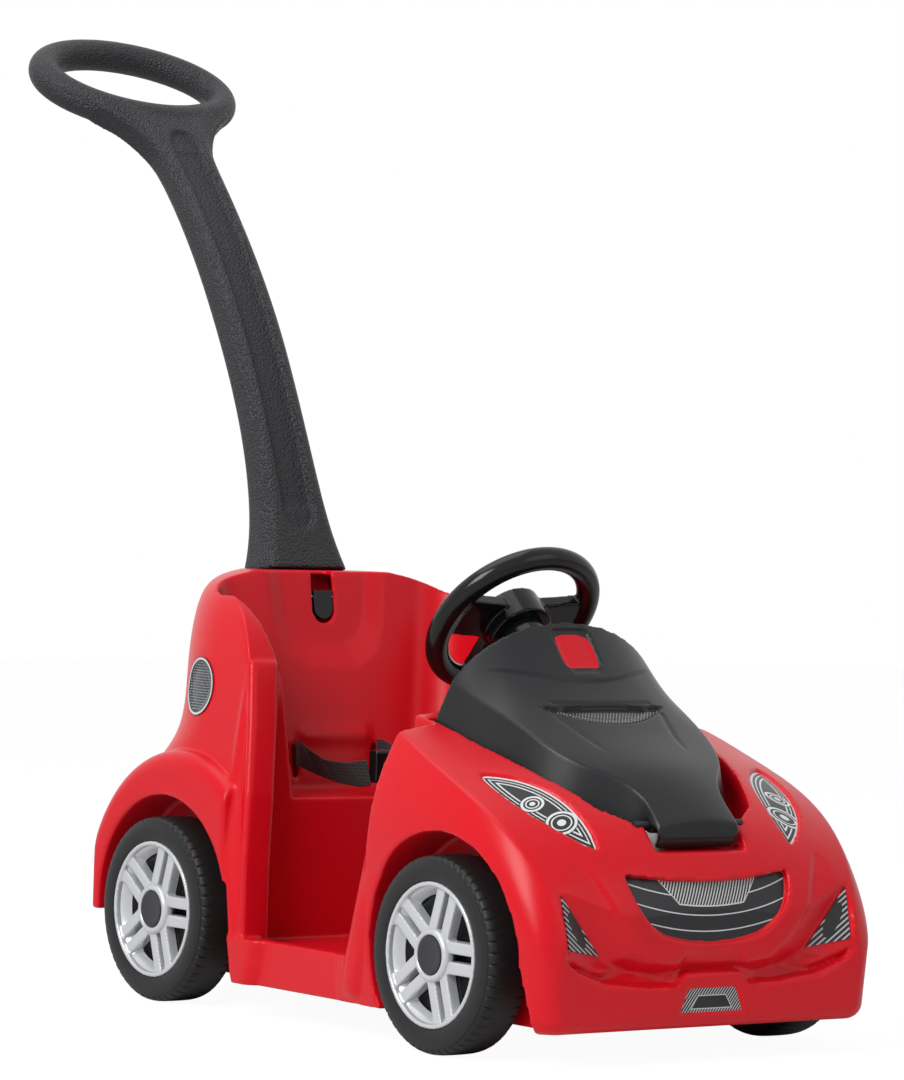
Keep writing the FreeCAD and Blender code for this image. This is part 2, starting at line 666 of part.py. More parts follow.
body_panels = {
    "headlamp_panel_right": (front_at, lambda margin: lamp_prism(-1, margin), "panel_sink"),
    "headlamp_panel_left": (front_at, lambda margin: lamp_prism(1, margin), "panel_sink"),
    "grille_panel": (front_at, grille_prism, "grille_sink"),
    "lower_intake_panel": (front_at, intake_prism, "panel_sink"),
    "fuel_cap_disc": (rear_hull, fuel_prism, "panel_sink"),
}
hood_panels = {"hood_mesh_panel": mesh_prism, "hood_badge_plate": badge_prism}


def seat_back_frame(height):
    foot = vector(x_at(size["seat_back_foot_back"]), 0, size["seat_height"])
    head = vector(x_at(size["seat_back_head_back"]), 0, size["seat_back_head_height"])
    lean = math.degrees(math.atan2(foot.x - head.x, head.z - foot.z))
    base = foot + (head - foot) * ((height - foot.z) / (head.z - foot.z))
    return FreeCAD.Placement(base, FreeCAD.Rotation(left, -lean))


def groove_cut():
    drop = size["latch_height"] - size["groove_foot_height"]
    a = size["groove_width"] / 2
    depth = size["groove_depth"]
    top = size["overrun"] * 2
    wire = Part.Wire([
        arc(vector(-depth, -a, a - drop), vector(-depth, 0, -drop), vector(-depth, a, a - drop)),
        line(vector(-depth, a, a - drop), vector(-depth, a, top)),
        line(vector(-depth, a, top), vector(-depth, -a, top)),
        line(vector(-depth, -a, top), vector(-depth, -a, a - drop)),
    ])
    slot = Part.Face(wire).extrude(forward * (depth + size["overrun"]))
    pin_half = a + size["latch_pin_seat"]
    pin = Part.makeCylinder(size["latch_pin_diameter"] / 2 + size["shaft_gap"], 2 * pin_half,
                            latch_pin_spot(-pin_half), left)
    window_y = size["nose_width"] / 2 + size["latch_margin"]
    window_z = latch_nose_foot() - size["latch_margin"]
    window_top = latch_nose_foot() + size["nose_height"] + size["latch_play"]
    window = Part.makeBox(2 * size["overrun"], 2 * window_y, window_top - window_z,
                          vector(-size["overrun"], -window_y, window_z))
    solid = slot.fuse([pin, window])
    solid.Placement = seat_back_frame(size["latch_height"])
    return solid


def latch_pin_spot(y):
    return vector(-size["tab_set"] - size["tab_thickness"] / 2, y, 0)


def latch_nose_foot():
    return size["tab_thickness"] - size["tab_length"] / 2


def latch_tab():
    a = size["tab_width"] / 2
    front = -size["tab_set"]
    drop = size["tab_length"] - size["tab_thickness"]
    wire = Part.Wire([
        arc(vector(front, -a, a - drop), vector(front, 0, -drop), vector(front, a, a - drop)),
        line(vector(front, a, a - drop), vector(front, a, size["tab_thickness"])),
        line(vector(front, a, size["tab_thickness"]), vector(front, -a, size["tab_thickness"])),
        line(vector(front, -a, size["tab_thickness"]), vector(front, -a, a - drop)),
    ])
    plate = Part.Face(wire).extrude(forward * -size["tab_thickness"])
    reach = size["nose_reach"] - size["tab_set"]
    nose = Part.makeBox(reach, size["nose_width"], size["nose_height"],
                        vector(-size["nose_reach"], -size["nose_width"] / 2, latch_nose_foot()))
    radius = size["latch_pin_diameter"] / 2 + size["shaft_gap"]
    bore = Part.makeCylinder(radius, 4 * a, latch_pin_spot(-2 * a), left)
    return plate.fuse(nose).cut(bore)


def belt_slots():
    shapes = []
    for side in sides.values():
        width = size["belt_thickness"] + size["wall"]
        tall = size["belt_width"] + 2 * size["fit_gap"]
        y = side * size["belt_spread"] / 2 - width / 2
        slot = Part.makeBox(2 * size["wall"] + size["overrun"], width, tall,
                            vector(-2 * size["wall"], y, -size["fit_gap"]))
        slot.Placement = seat_back_frame(size["belt_height"])
        shapes.append(slot)
    return shapes


def axle_holes():
    shapes = []
    for back in axles.values():
        base = vector(x_at(back), -half_width, axle_height)
        radius = size["bush_diameter"] / 2 + size["shaft_gap"]
        shapes.append(Part.makeCylinder(radius, 2 * half_width, base, left))
    return shapes


def finished_body():
    shell = body_shell()
    pin_half = size["notch_width"] / 2 + size["hood_pin_seat"]
    pin = Part.makeCylinder(size["hood_pin_diameter"] / 2 + size["shaft_gap"], 2 * pin_half,
                            hood_pin_place(-pin_half), left)
    cutters = [pin, groove_cut()] + belt_slots() + axle_holes()
    for hull_at, prism, sink in body_panels.values():
        cutters.append(recess(hull_at, prism(size["fit_gap"]), size[sink] + size["panel_thickness"]))
    return shell.cut(cutters)


def finished_hood():
    solid = hood()
    deep = size["hood_panel_sink"] + size["hood_panel_thickness"]
    return solid.cut([recess(hood_loft, prism(size["fit_gap"]), deep) for prism in hood_panels.values()])


feature("body_shell", finished_body())
feature("hood", finished_hood())
for label, (hull_at, prism, sink) in body_panels.items():
    deep = size[sink] + size["panel_thickness"] - size["shaft_gap"]
    feature(label, layer(hull_at, prism(0), size[sink], deep))
for side_name, side in sides.items():
    feature("side_vent_panel_" + side_name, side_vent(side))
for label, prism in hood_panels.items():
    sink = size["hood_panel_sink"]
    feature(label, layer(hood_loft, prism(0), sink, sink + size["hood_panel_thickness"] - size["shaft_gap"]))


# Rods that lie across the car.
def rod_across(label, diameter, length, back, height):
    rod = bound("Part::Cylinder", label, Radius=diameter + " / 2", Height=length)
    rod.Placement = FreeCAD.Placement(vector(0, 0, 0), FreeCAD.Rotation(forward, -90))
    rod.setExpression("Placement.Base.x", expression("overall_length / 2 - (%s)" % back))
    rod.setExpression("Placement.Base.y", expression("-(%s) / 2" % length))
    rod.setExpression("Placement.Base.z", expression(height))
    return keep(rod, label)


axle_backs = {"front": "front_overhang", "rear": "front_overhang + wheelbase"}
rod_across("hood_pin", "hood_pin_diameter", "notch_width + 2 * hood_pin_seat", "hood_pin_back",
           "hood_pin_height")
for axle, back in axle_backs.items():
    rod_across("%s_axle" % axle, "axle_diameter", "track_outer - 2 * axle_end", back, "tyre_diameter / 2")

pin_spot = seat_back_frame(size["latch_height"]).multVec(latch_pin_spot(0))
latch_pin_length = size["groove_width"] + 2 * size["latch_pin_seat"]
latch_pin = Part.makeCylinder(size["latch_pin_diameter"] / 2, latch_pin_length,
                              pin_spot - left * (latch_pin_length / 2), left)
feature("latch_pin", latch_pin)
feature("latch_tab", latch_tab(), seat_back_frame(size["latch_height"]))


# Bushes in the wells' inner walls and push nuts on the axle ends, one pair to each axle.
def bush(side, back):
    outer = size["bush_flange_thickness"]
    base = vector(x_at(back), side * well_y, axle_height)
    flange = Part.makeCylinder(size["bush_flange"] / 2, outer, base, left * side)
    barrel = Part.makeCylinder(size["bush_diameter"] / 2, 2 * size["wall"], base, left * -side)
    bore = Part.makeCylinder(size["axle_diameter"] / 2 + size["shaft_gap"], 4 * half_width,
                             vector(x_at(back), -2 * half_width, axle_height), left)
    return flange.fuse(barrel).cut(bore)


def push_nut(side, back):
    y = size["track_outer"] / 2 - size["hub_set"] + size["fit_gap"]
    base = vector(x_at(back), side * y, axle_height)
    ring = Part.makeCylinder(size["nut_diameter"] / 2, size["nut_thickness"], base, left * side)
    bore = Part.makeCylinder(size["axle_diameter"] / 2 + size["shaft_gap"] / 2, 4 * half_width,
                             vector(x_at(back), -2 * half_width, axle_height), left)
    return ring.cut(bore)


for axle, back in axles.items():
    feature("%s_axle_bushes" % axle, Part.makeCompound([bush(side, back) for side in sides.values()]))
    feature("%s_push_nuts" % axle, Part.makeCompound([push_nut(side, back) for side in sides.values()]))


# Sketch of closed outlines whose points are given as expressions of the sheet's sizes.
def outline_sketch(body, name, plane, outlines, rise="0"):
    sketch = body.newObject("Sketcher::SketchObject", name)
    support = [origin for origin in body.Origin.OriginFeatures if origin.Role == plane][0]
    sketch.AttachmentSupport = [(support, "")]
    sketch.MapMode = "FlatFace"
    sketch.setExpression("AttachmentOffset.Base.z", expression(rise))
    for outline in outlines:
        start = sketch.GeometryCount
        spots = [vector(measure(x), measure(y), 0) for x, y in outline]
        for number, spot in enumerate(spots):
            sketch.addGeometry(Part.LineSegment(spot, spots[(number + 1) % len(spots)]), False)
        for number, spot in enumerate(spots):
            following = start + (number + 1) % len(spots)
            sketch.addConstraint(Sketcher.Constraint("Coincident", start + number, 2, following, 1))
        for number, pair in enumerate(outline):
            for kind, text in zip(("DistanceX", "DistanceY"), pair):
                fixed = Sketcher.Constraint(kind, -1, 1, start + number, 1, measure(text))
                index = sketch.addConstraint(fixed)
                sketch.setExpression("Constraints[%d]" % index, expression(text))
    return sketch


def turned_body(label, outline):
    body = document.addObject("PartDesign::Body", label)
    sketch = outline_sketch(body, label + "_profile", "XZ_Plane", [outline])
    solid = body.newObject("PartDesign::Revolution", label + "_revolution")
    solid.Profile = sketch
    solid.ReferenceAxis = (sketch, ["V_Axis"])
    solid.Angle = 360
    body.Tip = solid
    return body


def ring_pattern(body, original, name, count):
    axis = [origin for origin in body.Origin.OriginFeatures if origin.Role == "Z_Axis"][0]
    pattern = body.newObject("PartDesign::PolarPattern", name)
    pattern.Originals = [original]
    pattern.Axis = (axis, [""])
    pattern.Angle = 360
    pattern.Occurrences = count
    body.Tip = pattern
    return pattern


# Wheels: the axis is the local Z, which points outwards, and the outer face of the rim lies at zero.
tyre_outline = (
    ("rim_diameter / 2 + shaft_gap", "-rim_lip"), ("rim_diameter / 2 + tread_groove", "0"),
    ("tyre_diameter / 2 - tyre_shoulder", "0"),
    ("tyre_diameter / 2 - tyre_shoulder / 3", "-tyre_shoulder / 3"),
    ("tyre_diameter / 2", "-tyre_shoulder"), ("tyre_diameter / 2", "tyre_shoulder - tyre_width"),
    ("tyre_diameter / 2 - tyre_shoulder / 3", "tyre_shoulder / 3 - tyre_width"),
    ("tyre_diameter / 2 - tyre_shoulder", "-tyre_width"), ("rim_diameter / 2 + shaft_gap", "-tyre_width"),
    ("rim_diameter / 2 + shaft_gap", "tyre_wall - tyre_width"),
    ("tyre_diameter / 2 - tyre_wall", "tyre_wall - tyre_width"),
    ("tyre_diameter / 2 - tyre_wall", "-tyre_wall - rim_lip"),
    ("rim_diameter / 2 + shaft_gap", "-tyre_wall - rim_lip"),
)
hub_back = "bush_flange_thickness + fit_gap - tyre_width - well_gap"
rim_outline = (
    ("axle_diameter / 2 + shaft_gap", "-hub_set"), ("hub_diameter / 2", "-hub_set"),
    ("hub_diameter / 2", "-dish_depth"), ("rim_diameter / 2 - rim_wall", "-dish_depth"),
    ("rim_diameter / 2 - rim_wall", "0"), ("rim_diameter / 2", "0"), ("rim_diameter / 2", "-tyre_width"),
    ("rim_diameter / 2 - rim_wall", "-tyre_width"), ("rim_diameter / 2 - rim_wall", "-dish_depth - rim_web"),
    ("hub_diameter / 2", "-dish_depth - rim_web"), ("hub_diameter / 2", hub_back),
    ("axle_diameter / 2 + shaft_gap", hub_back),
)
cap_outline = (
    ("0", "cap_height - hub_set"), ("cap_diameter / 2 - cap_wall", "cap_height - hub_set"),
    ("cap_diameter / 2", "cap_height - hub_set - cap_wall"), ("cap_diameter / 2", "-hub_set"),
    ("cap_diameter / 2 - cap_wall", "-hub_set"),
    ("cap_diameter / 2 - cap_wall", "cap_height - hub_set - cap_wall"),
    ("0", "cap_height - hub_set - cap_wall"),
)
spoke_rows = ("spoke_gap / 2", "-spoke_gap / 2 - spoke_width")


def tyre(label):
    body = turned_body(label, tyre_outline)
    slot = body.newObject("PartDesign::SubtractiveBox", label + "_slot")
    slot.setExpression("Length", expression("2 * tread_groove"))
    slot.setExpression("Width", expression("tread_slot"))
    slot.setExpression("Height", expression("2 * tyre_shoulder"))
    slot.setExpression("Placement.Base.x", expression("tyre_diameter / 2 - tread_groove"))
    slot.setExpression("Placement.Base.z", expression("-2 * tyre_shoulder"))
    ring_pattern(body, slot, label + "_tread", tread_count)
    return body


def rim(label):
    body = turned_body(label, rim_outline)
    inner, outer = "hub_diameter / 2 - shaft_gap", "rim_diameter / 2 - rim_wall / 2"
    bars = []
    for low in spoke_rows:
        top = low + " + spoke_width"
        bars.append(((inner, low), (outer, low), (outer, top), (inner, top)))
    sketch = outline_sketch(body, label + "_bars", "XY_Plane", bars, "-dish_depth - rim_web / 2")
    pad = body.newObject("PartDesign::Pad", label + "_spoke")
    pad.Profile = sketch
    pad.setExpression("Length", expression("spoke_depth + rim_web / 2"))
    ring_pattern(body, pad, label + "_spokes", spoke_count)
    return body


tread_count = 28
spoke_count = 5
for axle, back in axle_backs.items():
    for side_name, side in sides.items():
        corner = "%s_%s" % (axle, side_name)
        bodies = {
            "tyre_": tyre("tyre_" + corner), "rim_": rim("rim_" + corner),
            "hub_cap_": turned_body("hub_cap_" + corner, cap_outline),
        }
        for prefix, body in bodies.items():
            body.Placement = FreeCAD.Placement(vector(0, 0, 0), FreeCAD.Rotation(forward, -90 * side))
            body.setExpression("Placement.Base.x", expression("overall_length / 2 - (%s)" % back))
            body.setExpression("Placement.Base.y", expression("%d * track_outer / 2" % side))
            body.setExpression("Placement.Base.z", expression("tyre_diameter / 2"))
            keep(body, prefix + corner)


# Dash and steering: the column's own frame has its origin in the middle of the steering wheel's rim,
# Z towards the driver and X to the top of the wheel.
def column_frame():
    base = vector(x_at(size["steering_back"]), 0, size["steering_height"])
    return FreeCAD.Placement(base, FreeCAD.Rotation(left, size["column_lean"] - 90))


def dash_reach():
    place = column_frame()
    axis = place.Rotation.multVec(up)
    lean = math.radians(arch_lean())
    normal = vector(math.cos(lean), 0, -math.sin(lean))
    face = vector(x_at(size["arch_foot_back"]) + size["dash_inset"], 0, size["arch_foot_height"])
    return normal.dot(place.Base - face) / normal.dot(axis)


def dash_panel():
    back = size["dash_inset"] + size["fit_gap"]
    slab = behind_arch(back + size["dash_thickness"]).cut(behind_arch(back))
    plate = hood_loft(size["hood_wall"] + size["hood_gap"]).common(slab)
    return plate.cut(column_bore(size["shaft_gap"]))


def column_bore(gap):
    bore = Part.makeCylinder(size["steering_shaft_diameter"] / 2 + gap, 2 * high, vector(0, 0, -high), up)
    bore.Placement = column_frame()
    return bore


def hub_foot():
    return size["steering_rim"] / 2 - size["steering_hub_height"]


def column_collar():
    head = hub_foot() - size["fit_gap"]
    length = dash_reach() + head + size["overrun"]
    cone = Part.makeCone(size["collar_diameter"] / 2, size["collar_head_diameter"] / 2, length,
                         vector(0, 0, head - length), up)
    cone.Placement = column_frame()
    cowl_top = size["cowl_height"] + size["fit_gap"]
    below = Part.makeBox(2 * nose_x, 4 * half_width, cowl_top, vector(-nose_x, -2 * half_width, 0))
    above_dash = cone.common(behind_arch(size["dash_inset"] + size["fit_gap"]))
    return above_dash.cut([below, column_bore(size["shaft_gap"])])


def steering_wheel():
    ring_radius = (size["steering_diameter"] - size["steering_rim"]) / 2
    ring = Part.makeTorus(ring_radius, size["steering_rim"] / 2)
    tall = size["steering_hub_height"]
    hub = Part.makeCylinder(size["steering_hub_diameter"] / 2, tall, vector(0, 0, hub_foot()))
    spokes = []
    for turn in spoke_turn_shares:
        wide = size["steering_spoke_width"]
        thick = size["steering_spoke_thickness"]
        bar = Part.makeBox(ring_radius, wide, thick, vector(0, -wide / 2, -thick / 2))
        bar.rotate(vector(0, 0, 0), up, 360 * turn)
        spokes.append(bar)
    top = hub_foot() + size["steering_hub_height"]
    room = Part.makeCylinder(size["horn_diameter"] / 2 + size["fit_gap"], size["horn_height"],
                             vector(0, 0, top - size["horn_height"]))
    radius = size["steering_shaft_diameter"] / 2 + size["shaft_gap"]
    seat_foot = hub_foot() - size["horn_height"] - size["horn_travel"]
    seat = Part.makeCylinder(radius, tall, vector(0, 0, seat_foot))
    return ring.fuse([hub] + spokes).cut([room, seat])


def horn_button():
    top = hub_foot() + size["steering_hub_height"]
    foot = top - size["horn_height"] + size["horn_travel"] + size["fit_gap"]
    button = Part.makeCylinder(size["horn_diameter"] / 2, size["horn_height"], vector(0, 0, foot))
    head = foot + size["horn_travel"]
    crown = [edge for edge in button.Edges if edge.CenterOfMass.z > head and edge.Closed]
    return button.makeFillet(size["horn_travel"], crown)


spoke_turn_shares = (0.5, 0.235, 0.765)
shaft_head = hub_foot() + size["steering_hub_height"] - size["horn_height"] - size["horn_travel"]
shaft_foot = -dash_reach() - size["dash_thickness"] - size["shaft_tail"]
shaft_base = vector(0, 0, shaft_foot)
shaft = Part.makeCylinder(size["steering_shaft_diameter"] / 2, shaft_head - shaft_foot, shaft_base)
clip = Part.makeCylinder(size["clip_diameter"] / 2, size["clip_thickness"], shaft_base).cut(shaft)
feature("dash_panel", dash_panel())
feature("column_collar", column_collar())
feature("steering_wheel", steering_wheel(), column_frame())
feature("steering_shaft", shaft, column_frame())
feature("steering_clip", clip, column_frame())
feature("horn_button", horn_button(), column_frame())


# Push handle: rounded sections along an arc that leans further back, a flared foot, a shank below it and
# an oval grip loop. Shares: along the arc, width, thickness, each of the handle's own.
handle_shares = (
    (0.12, 1.20, 1.12), (0.24, 1.06, 1.03), (0.50, 1.00, 1.00), (0.76, 0.97, 0.95), (0.92, 1.06, 0.92),
)


def handle_spot(angle):
    radius = size["handle_bend_radius"]
    base = vector(radius * (math.cos(angle) - 1), 0, radius * math.sin(angle))
    return FreeCAD.Placement(base, FreeCAD.Rotation(left, -math.degrees(angle)))


def handle_section(angle, width, thickness):
    wire = rounded_rectangle(thickness, width, size["handle_round"])
    wire.Placement = handle_spot(angle)
    return wire


def grip_place():
    lean = math.radians(size["grip_lean"])
    x = -nose_x + size["grip_tube"] / 2 + math.sin(lean) * size["grip_length"] / 2
    return FreeCAD.Placement(vector(x, 0, size["grip_height"]), FreeCAD.Rotation(left, -size["grip_lean"]))


def grip_loop():
    path = Part.Ellipse(vector(0, 0, 0), size["grip_width"] / 2, size["grip_length"] / 2).toShape()
    path.rotate(vector(0, 0, 0), up, 90)
    path = Part.Wire([path])
    start = path.Edges[0].valueAt(path.Edges[0].FirstParameter)
    tangent = path.Edges[0].tangentAt(path.Edges[0].FirstParameter)
    circle = Part.Wire([Part.makeCircle(size["grip_tube"] / 2, start, tangent)])
    loop = path.makePipeShell([circle], True, True)
    loop.Placement = FreeCAD.Placement(vector(0, 0, 0), FreeCAD.Rotation(left, 90))
    moved = loop.copy()
    moved.Placement = grip_place().multiply(loop.Placement)
    return moved


def handle_panel():
    sweep = math.radians(size["handle_neck_lean"] - size["handle_lean"])
    wires = []
    for along, wide, thick in handle_shares:
        face = thick * size["handle_thickness"] / 2
        depth = size["handle_panel_depth"]
        wire = rounded_rectangle(2 * depth, size["handle_panel_width"], depth)
        wire.translate(forward * face)
        base = handle_spot(along * sweep)
        wire.Placement = base.multiply(wire.Placement)
        wires.append(wire)
    return smooth_loft(wires)


def push_handle():
    sweep = math.radians(size["handle_neck_lean"] - size["handle_lean"])
    wires = [handle_section(0, size["handle_foot_width"], size["handle_foot_thickness"])]
    for along, wide, thick in handle_shares:
        deep = thick * size["handle_thickness"]
        wires.append(handle_section(along * sweep, wide * size["handle_width"], deep))
    bar = grip_place().multVec(vector(0, 0, -size["grip_length"] / 2))
    bar = handle_frame().inverse().multVec(bar)
    web = size["grip_width"] * web_share
    neck = rounded_rectangle(size["grip_tube"] * neck_share, web, size["handle_round"])
    turn = size["grip_lean"] - size["handle_lean"]
    neck.Placement = FreeCAD.Placement(bar, FreeCAD.Rotation(left, -turn))
    stem = smooth_loft(wires + [neck])
    shank = rounded_rectangle(size["shank_thickness"], size["shank_width"], size["handle_round"])
    shank.translate(up * -size["shank_length"])
    shank = Part.Face(shank).extrude(up * (size["shank_length"] + size["wall"]))
    solid = stem.fuse(shank).cut(handle_panel())
    solid.Placement = handle_frame()
    return solid.fuse(grip_loop()).cut(latch_channel())


def latch_channel():
    place = seat_back_frame(size["latch_height"])
    nose = place.multVec(vector(-size["nose_reach"], 0, latch_nose_foot() + size["nose_height"]))
    nose = handle_frame().inverse().multVec(nose)
    a = size["nose_width"] / 2 + size["latch_margin"]
    back = size["shank_thickness"] / 2 - size["channel_depth"]
    top = nose.z + size["latch_play"]
    low = -2 * size["shank_length"]
    solid = Part.makeBox(size["overrun"], 2 * a, top - low, vector(back, -a, low))
    solid.Placement = handle_frame()
    return solid


neck_share = 0.9
web_share = 0.62
feature("push_handle", push_handle())


# Lap belt: a strap from each slot in the seat back to the buckle that lies on the seat.
def strap(side):
    z = size["belt_height"]
    slot = seat_back_frame(z).multVec(vector(0, side * size["belt_spread"] / 2, 0))
    meet = vector(x_at(size["belt_meet_back"]), side * (size["buckle_length"] / 2 + size["fit_gap"]), z)
    middle = (slot + meet) / 2 + left * (side * size["belt_sag"])
    t = left * (side * size["belt_thickness"])
    outer = [slot + t, middle + t, meet + forward * size["belt_thickness"]]
    wire = Part.Wire([
        arc(slot, middle, meet), line(meet, outer[2]),
        arc(outer[2], outer[1], outer[0]), line(outer[0], slot),
    ])
    return Part.Face(wire).extrude(up * size["belt_width"])


def buckle():
    base = vector(x_at(size["belt_meet_back"]) - size["buckle_thickness"] / 2, -size["buckle_length"] / 2,
                  size["belt_height"])
    block = Part.makeBox(size["buckle_thickness"], size["buckle_length"], size["belt_width"], base)
    return block.makeFillet(size["buckle_thickness"] / 4, block.Edges)


for side_name, side in sides.items():
    feature("belt_strap_" + side_name, strap(side))
feature("belt_buckle", buckle())

document.recompute()
for item in document.Objects:
    if "Invalid" in item.State or "Error" in item.State:
        raise RuntimeError("%s did not build" % item.Label)
os.makedirs("parts", exist_ok=True)
for node in nodes:
    shape = node.Shape
    if shape.isNull() or not shape.isValid():
        raise RuntimeError("%s has no sound shape" % node.Label)
for node in nodes:
    node.Shape.exportStep("parts/%s.step" % node.Label)
    print(node.Label, len(node.Shape.Solids), "solids", round(node.Shape.Volume), "mm3")
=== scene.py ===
import math

import bpy
import numpy as np
from mathutils import Matrix, Vector


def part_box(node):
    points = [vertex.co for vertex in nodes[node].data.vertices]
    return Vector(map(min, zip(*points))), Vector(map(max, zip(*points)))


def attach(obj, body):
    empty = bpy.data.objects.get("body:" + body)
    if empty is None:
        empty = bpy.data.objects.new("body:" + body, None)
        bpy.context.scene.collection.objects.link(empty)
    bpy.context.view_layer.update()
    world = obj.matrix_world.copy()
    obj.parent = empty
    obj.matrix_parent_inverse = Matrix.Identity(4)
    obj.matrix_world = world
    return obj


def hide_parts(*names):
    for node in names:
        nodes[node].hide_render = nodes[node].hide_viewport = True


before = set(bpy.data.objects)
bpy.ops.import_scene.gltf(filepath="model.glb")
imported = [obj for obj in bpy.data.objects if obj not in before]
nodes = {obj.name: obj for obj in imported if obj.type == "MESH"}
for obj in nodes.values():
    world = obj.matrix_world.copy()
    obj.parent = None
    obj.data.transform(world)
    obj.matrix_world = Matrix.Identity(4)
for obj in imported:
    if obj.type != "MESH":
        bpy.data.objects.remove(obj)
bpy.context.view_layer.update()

print("frame loaded:", len(nodes), "nodes")


def linearColour(text):
    channels = [int(text[i:i + 2], 16) / 255 for i in (0, 2, 4)]
    return [c / 12.92 if c <= 0.04045 else ((c + 0.055) / 1.055) ** 2.4 for c in channels] + [1.0]


def addNode(tree, kind, values=None, links=None, **settings):
    node = tree.nodes.new(kind)
    for name, value in settings.items():
        setattr(node, name, value)
    for key, value in (values or {}).items():
        node.inputs[key].default_value = value
    for key, socket in (links or {}).items():
        tree.links.new(socket, node.inputs[key])
    return node


def newMaterial(name, colour, **values):
    material = bpy.data.materials.new(name)
    material.use_nodes = True
    shader = material.node_tree.nodes["Principled BSDF"]
    shader.inputs["Base Color"].default_value = linearColour(colour)
    for key, value in values.items():
        shader.inputs[key.replace("_", " ")].default_value = value
    return material, material.node_tree, shader


def selectOnly(piece):
    bpy.ops.object.select_all(action="DESELECT")
    piece.select_set(True)
    bpy.context.view_layer.objects.active = piece


def copyOfNode(name, pieceName):
    piece = nodes[name].copy()
    piece.data = nodes[name].data.copy()
    piece.parent = None
    piece.name = pieceName
    piece.data.name = pieceName
    for key in list(piece.keys()):
        del piece[key]
    bpy.context.scene.collection.objects.link(piece)
    selectOnly(piece)
    bpy.ops.object.mode_set(mode="EDIT")
    bpy.ops.mesh.select_all(action="SELECT")
    bpy.ops.mesh.remove_doubles(threshold=0.00005)
    bpy.ops.object.mode_set(mode="OBJECT")
    return piece


def applyModifier(piece, kind, **settings):
    selectOnly(piece)
    modifier = piece.modifiers.new(kind.title(), kind)
    for name, value in settings.items():
        setattr(modifier, name, value)
    bpy.ops.object.modifier_apply(modifier=modifier.name)


def wear(piece, material):
    piece.data.materials.clear()
    piece.data.materials.append(material)


# A moulding's soft skin: the solid's own form, joined with its fillers, remeshed and eased
def softCopy(nodeName, pieceName, form, *filledWith):
    piece = copyOfNode(nodeName, pieceName)
    fillers = [copyOfNode(part, part + "_filler") if isinstance(part, str) else part
               for part in filledWith]
    selectOnly(piece)
    for filler in fillers:
        filler.select_set(True)
    if fillers:
        bpy.ops.object.join()
    applyModifier(piece, "REMESH", mode="VOXEL", voxel_size=form["voxel"])
    applyModifier(piece, "SMOOTH", factor=0.5, iterations=form["rounds"])
    return piece


def thin(piece, triangles):
    have = sum(len(face.vertices) - 2 for face in piece.data.polygons)
    if have > triangles:
        applyModifier(piece, "DECIMATE", ratio=triangles / have)


# Hand-shaping in code: move(spots, normals) gives each point's shift, all in millimetres
def sculpt(piece, move):
    mesh = piece.data
    spots = np.empty(len(mesh.vertices) * 3)
    normals = np.empty(len(mesh.vertices) * 3)
    mesh.vertices.foreach_get("co", spots)
    mesh.vertex_normals.foreach_get("vector", normals)
    shifted = spots.reshape(-1, 3) * 1000
    shifted = shifted + move(shifted, normals.reshape(-1, 3))
    mesh.vertices.foreach_set("co", shifted.ravel() / 1000)
    mesh.update()


def ease(low, high, values):
    share = np.clip((values - low) / (high - low), 0, 1)
    return share * share * (3 - 2 * share)


def finishPiece(piece, material, body, slot, *nodeNames):
    selectOnly(piece)
    bpy.ops.object.shade_smooth_by_angle(angle=math.radians(40))
    wear(piece, material)
    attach(piece, body)
    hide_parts(*nodeNames)
    print(piece.name, len(piece.data.polygons), "faces")


# A sheet of points laid out by place(u, v), both from 0 to 1, in millimetres
def laidGrid(name, columns, rows, place):
    bpy.ops.object.select_all(action="DESELECT")
    bpy.ops.mesh.primitive_grid_add(x_subdivisions=columns, y_subdivisions=rows, size=1.0)
    piece = bpy.context.object
    piece.name = name
    piece.data.name = name
    spots = np.empty(len(piece.data.vertices) * 3)
    piece.data.vertices.foreach_get("co", spots)
    shares = spots.reshape(-1, 3) + 0.5
    laid = np.stack(place(shares[:, 0], shares[:, 1]), axis=1)
    piece.data.vertices.foreach_set("co", laid.ravel() / 1000)
    piece.data.update()
    return piece


# A turned ring: profile of (radius, distance along the axle) spun about the axle, in millimetres
def turned(name, profile, axle, height, steps):
    mesh = bpy.data.meshes.new(name)
    points = [(axle / 1000, y / 1000, (height + r) / 1000) for r, y in profile]
    count = len(points)
    mesh.from_pydata(points, [(i, (i + 1) % count) for i in range(count)], [])
    piece = bpy.data.objects.new(name, mesh)
    bpy.context.scene.collection.objects.link(piece)
    selectOnly(piece)
    bpy.ops.object.mode_set(mode="EDIT")
    bpy.ops.mesh.select_all(action="SELECT")
    bpy.ops.mesh.spin(steps=steps, angle=math.tau, center=(axle / 1000, 0, height / 1000), axis=(0, 1, 0))
    bpy.ops.mesh.select_all(action="SELECT")
    bpy.ops.mesh.remove_doubles(threshold=0.00002)
    bpy.ops.mesh.normals_make_consistent(inside=False)
    bpy.ops.object.mode_set(mode="OBJECT")
    return piece


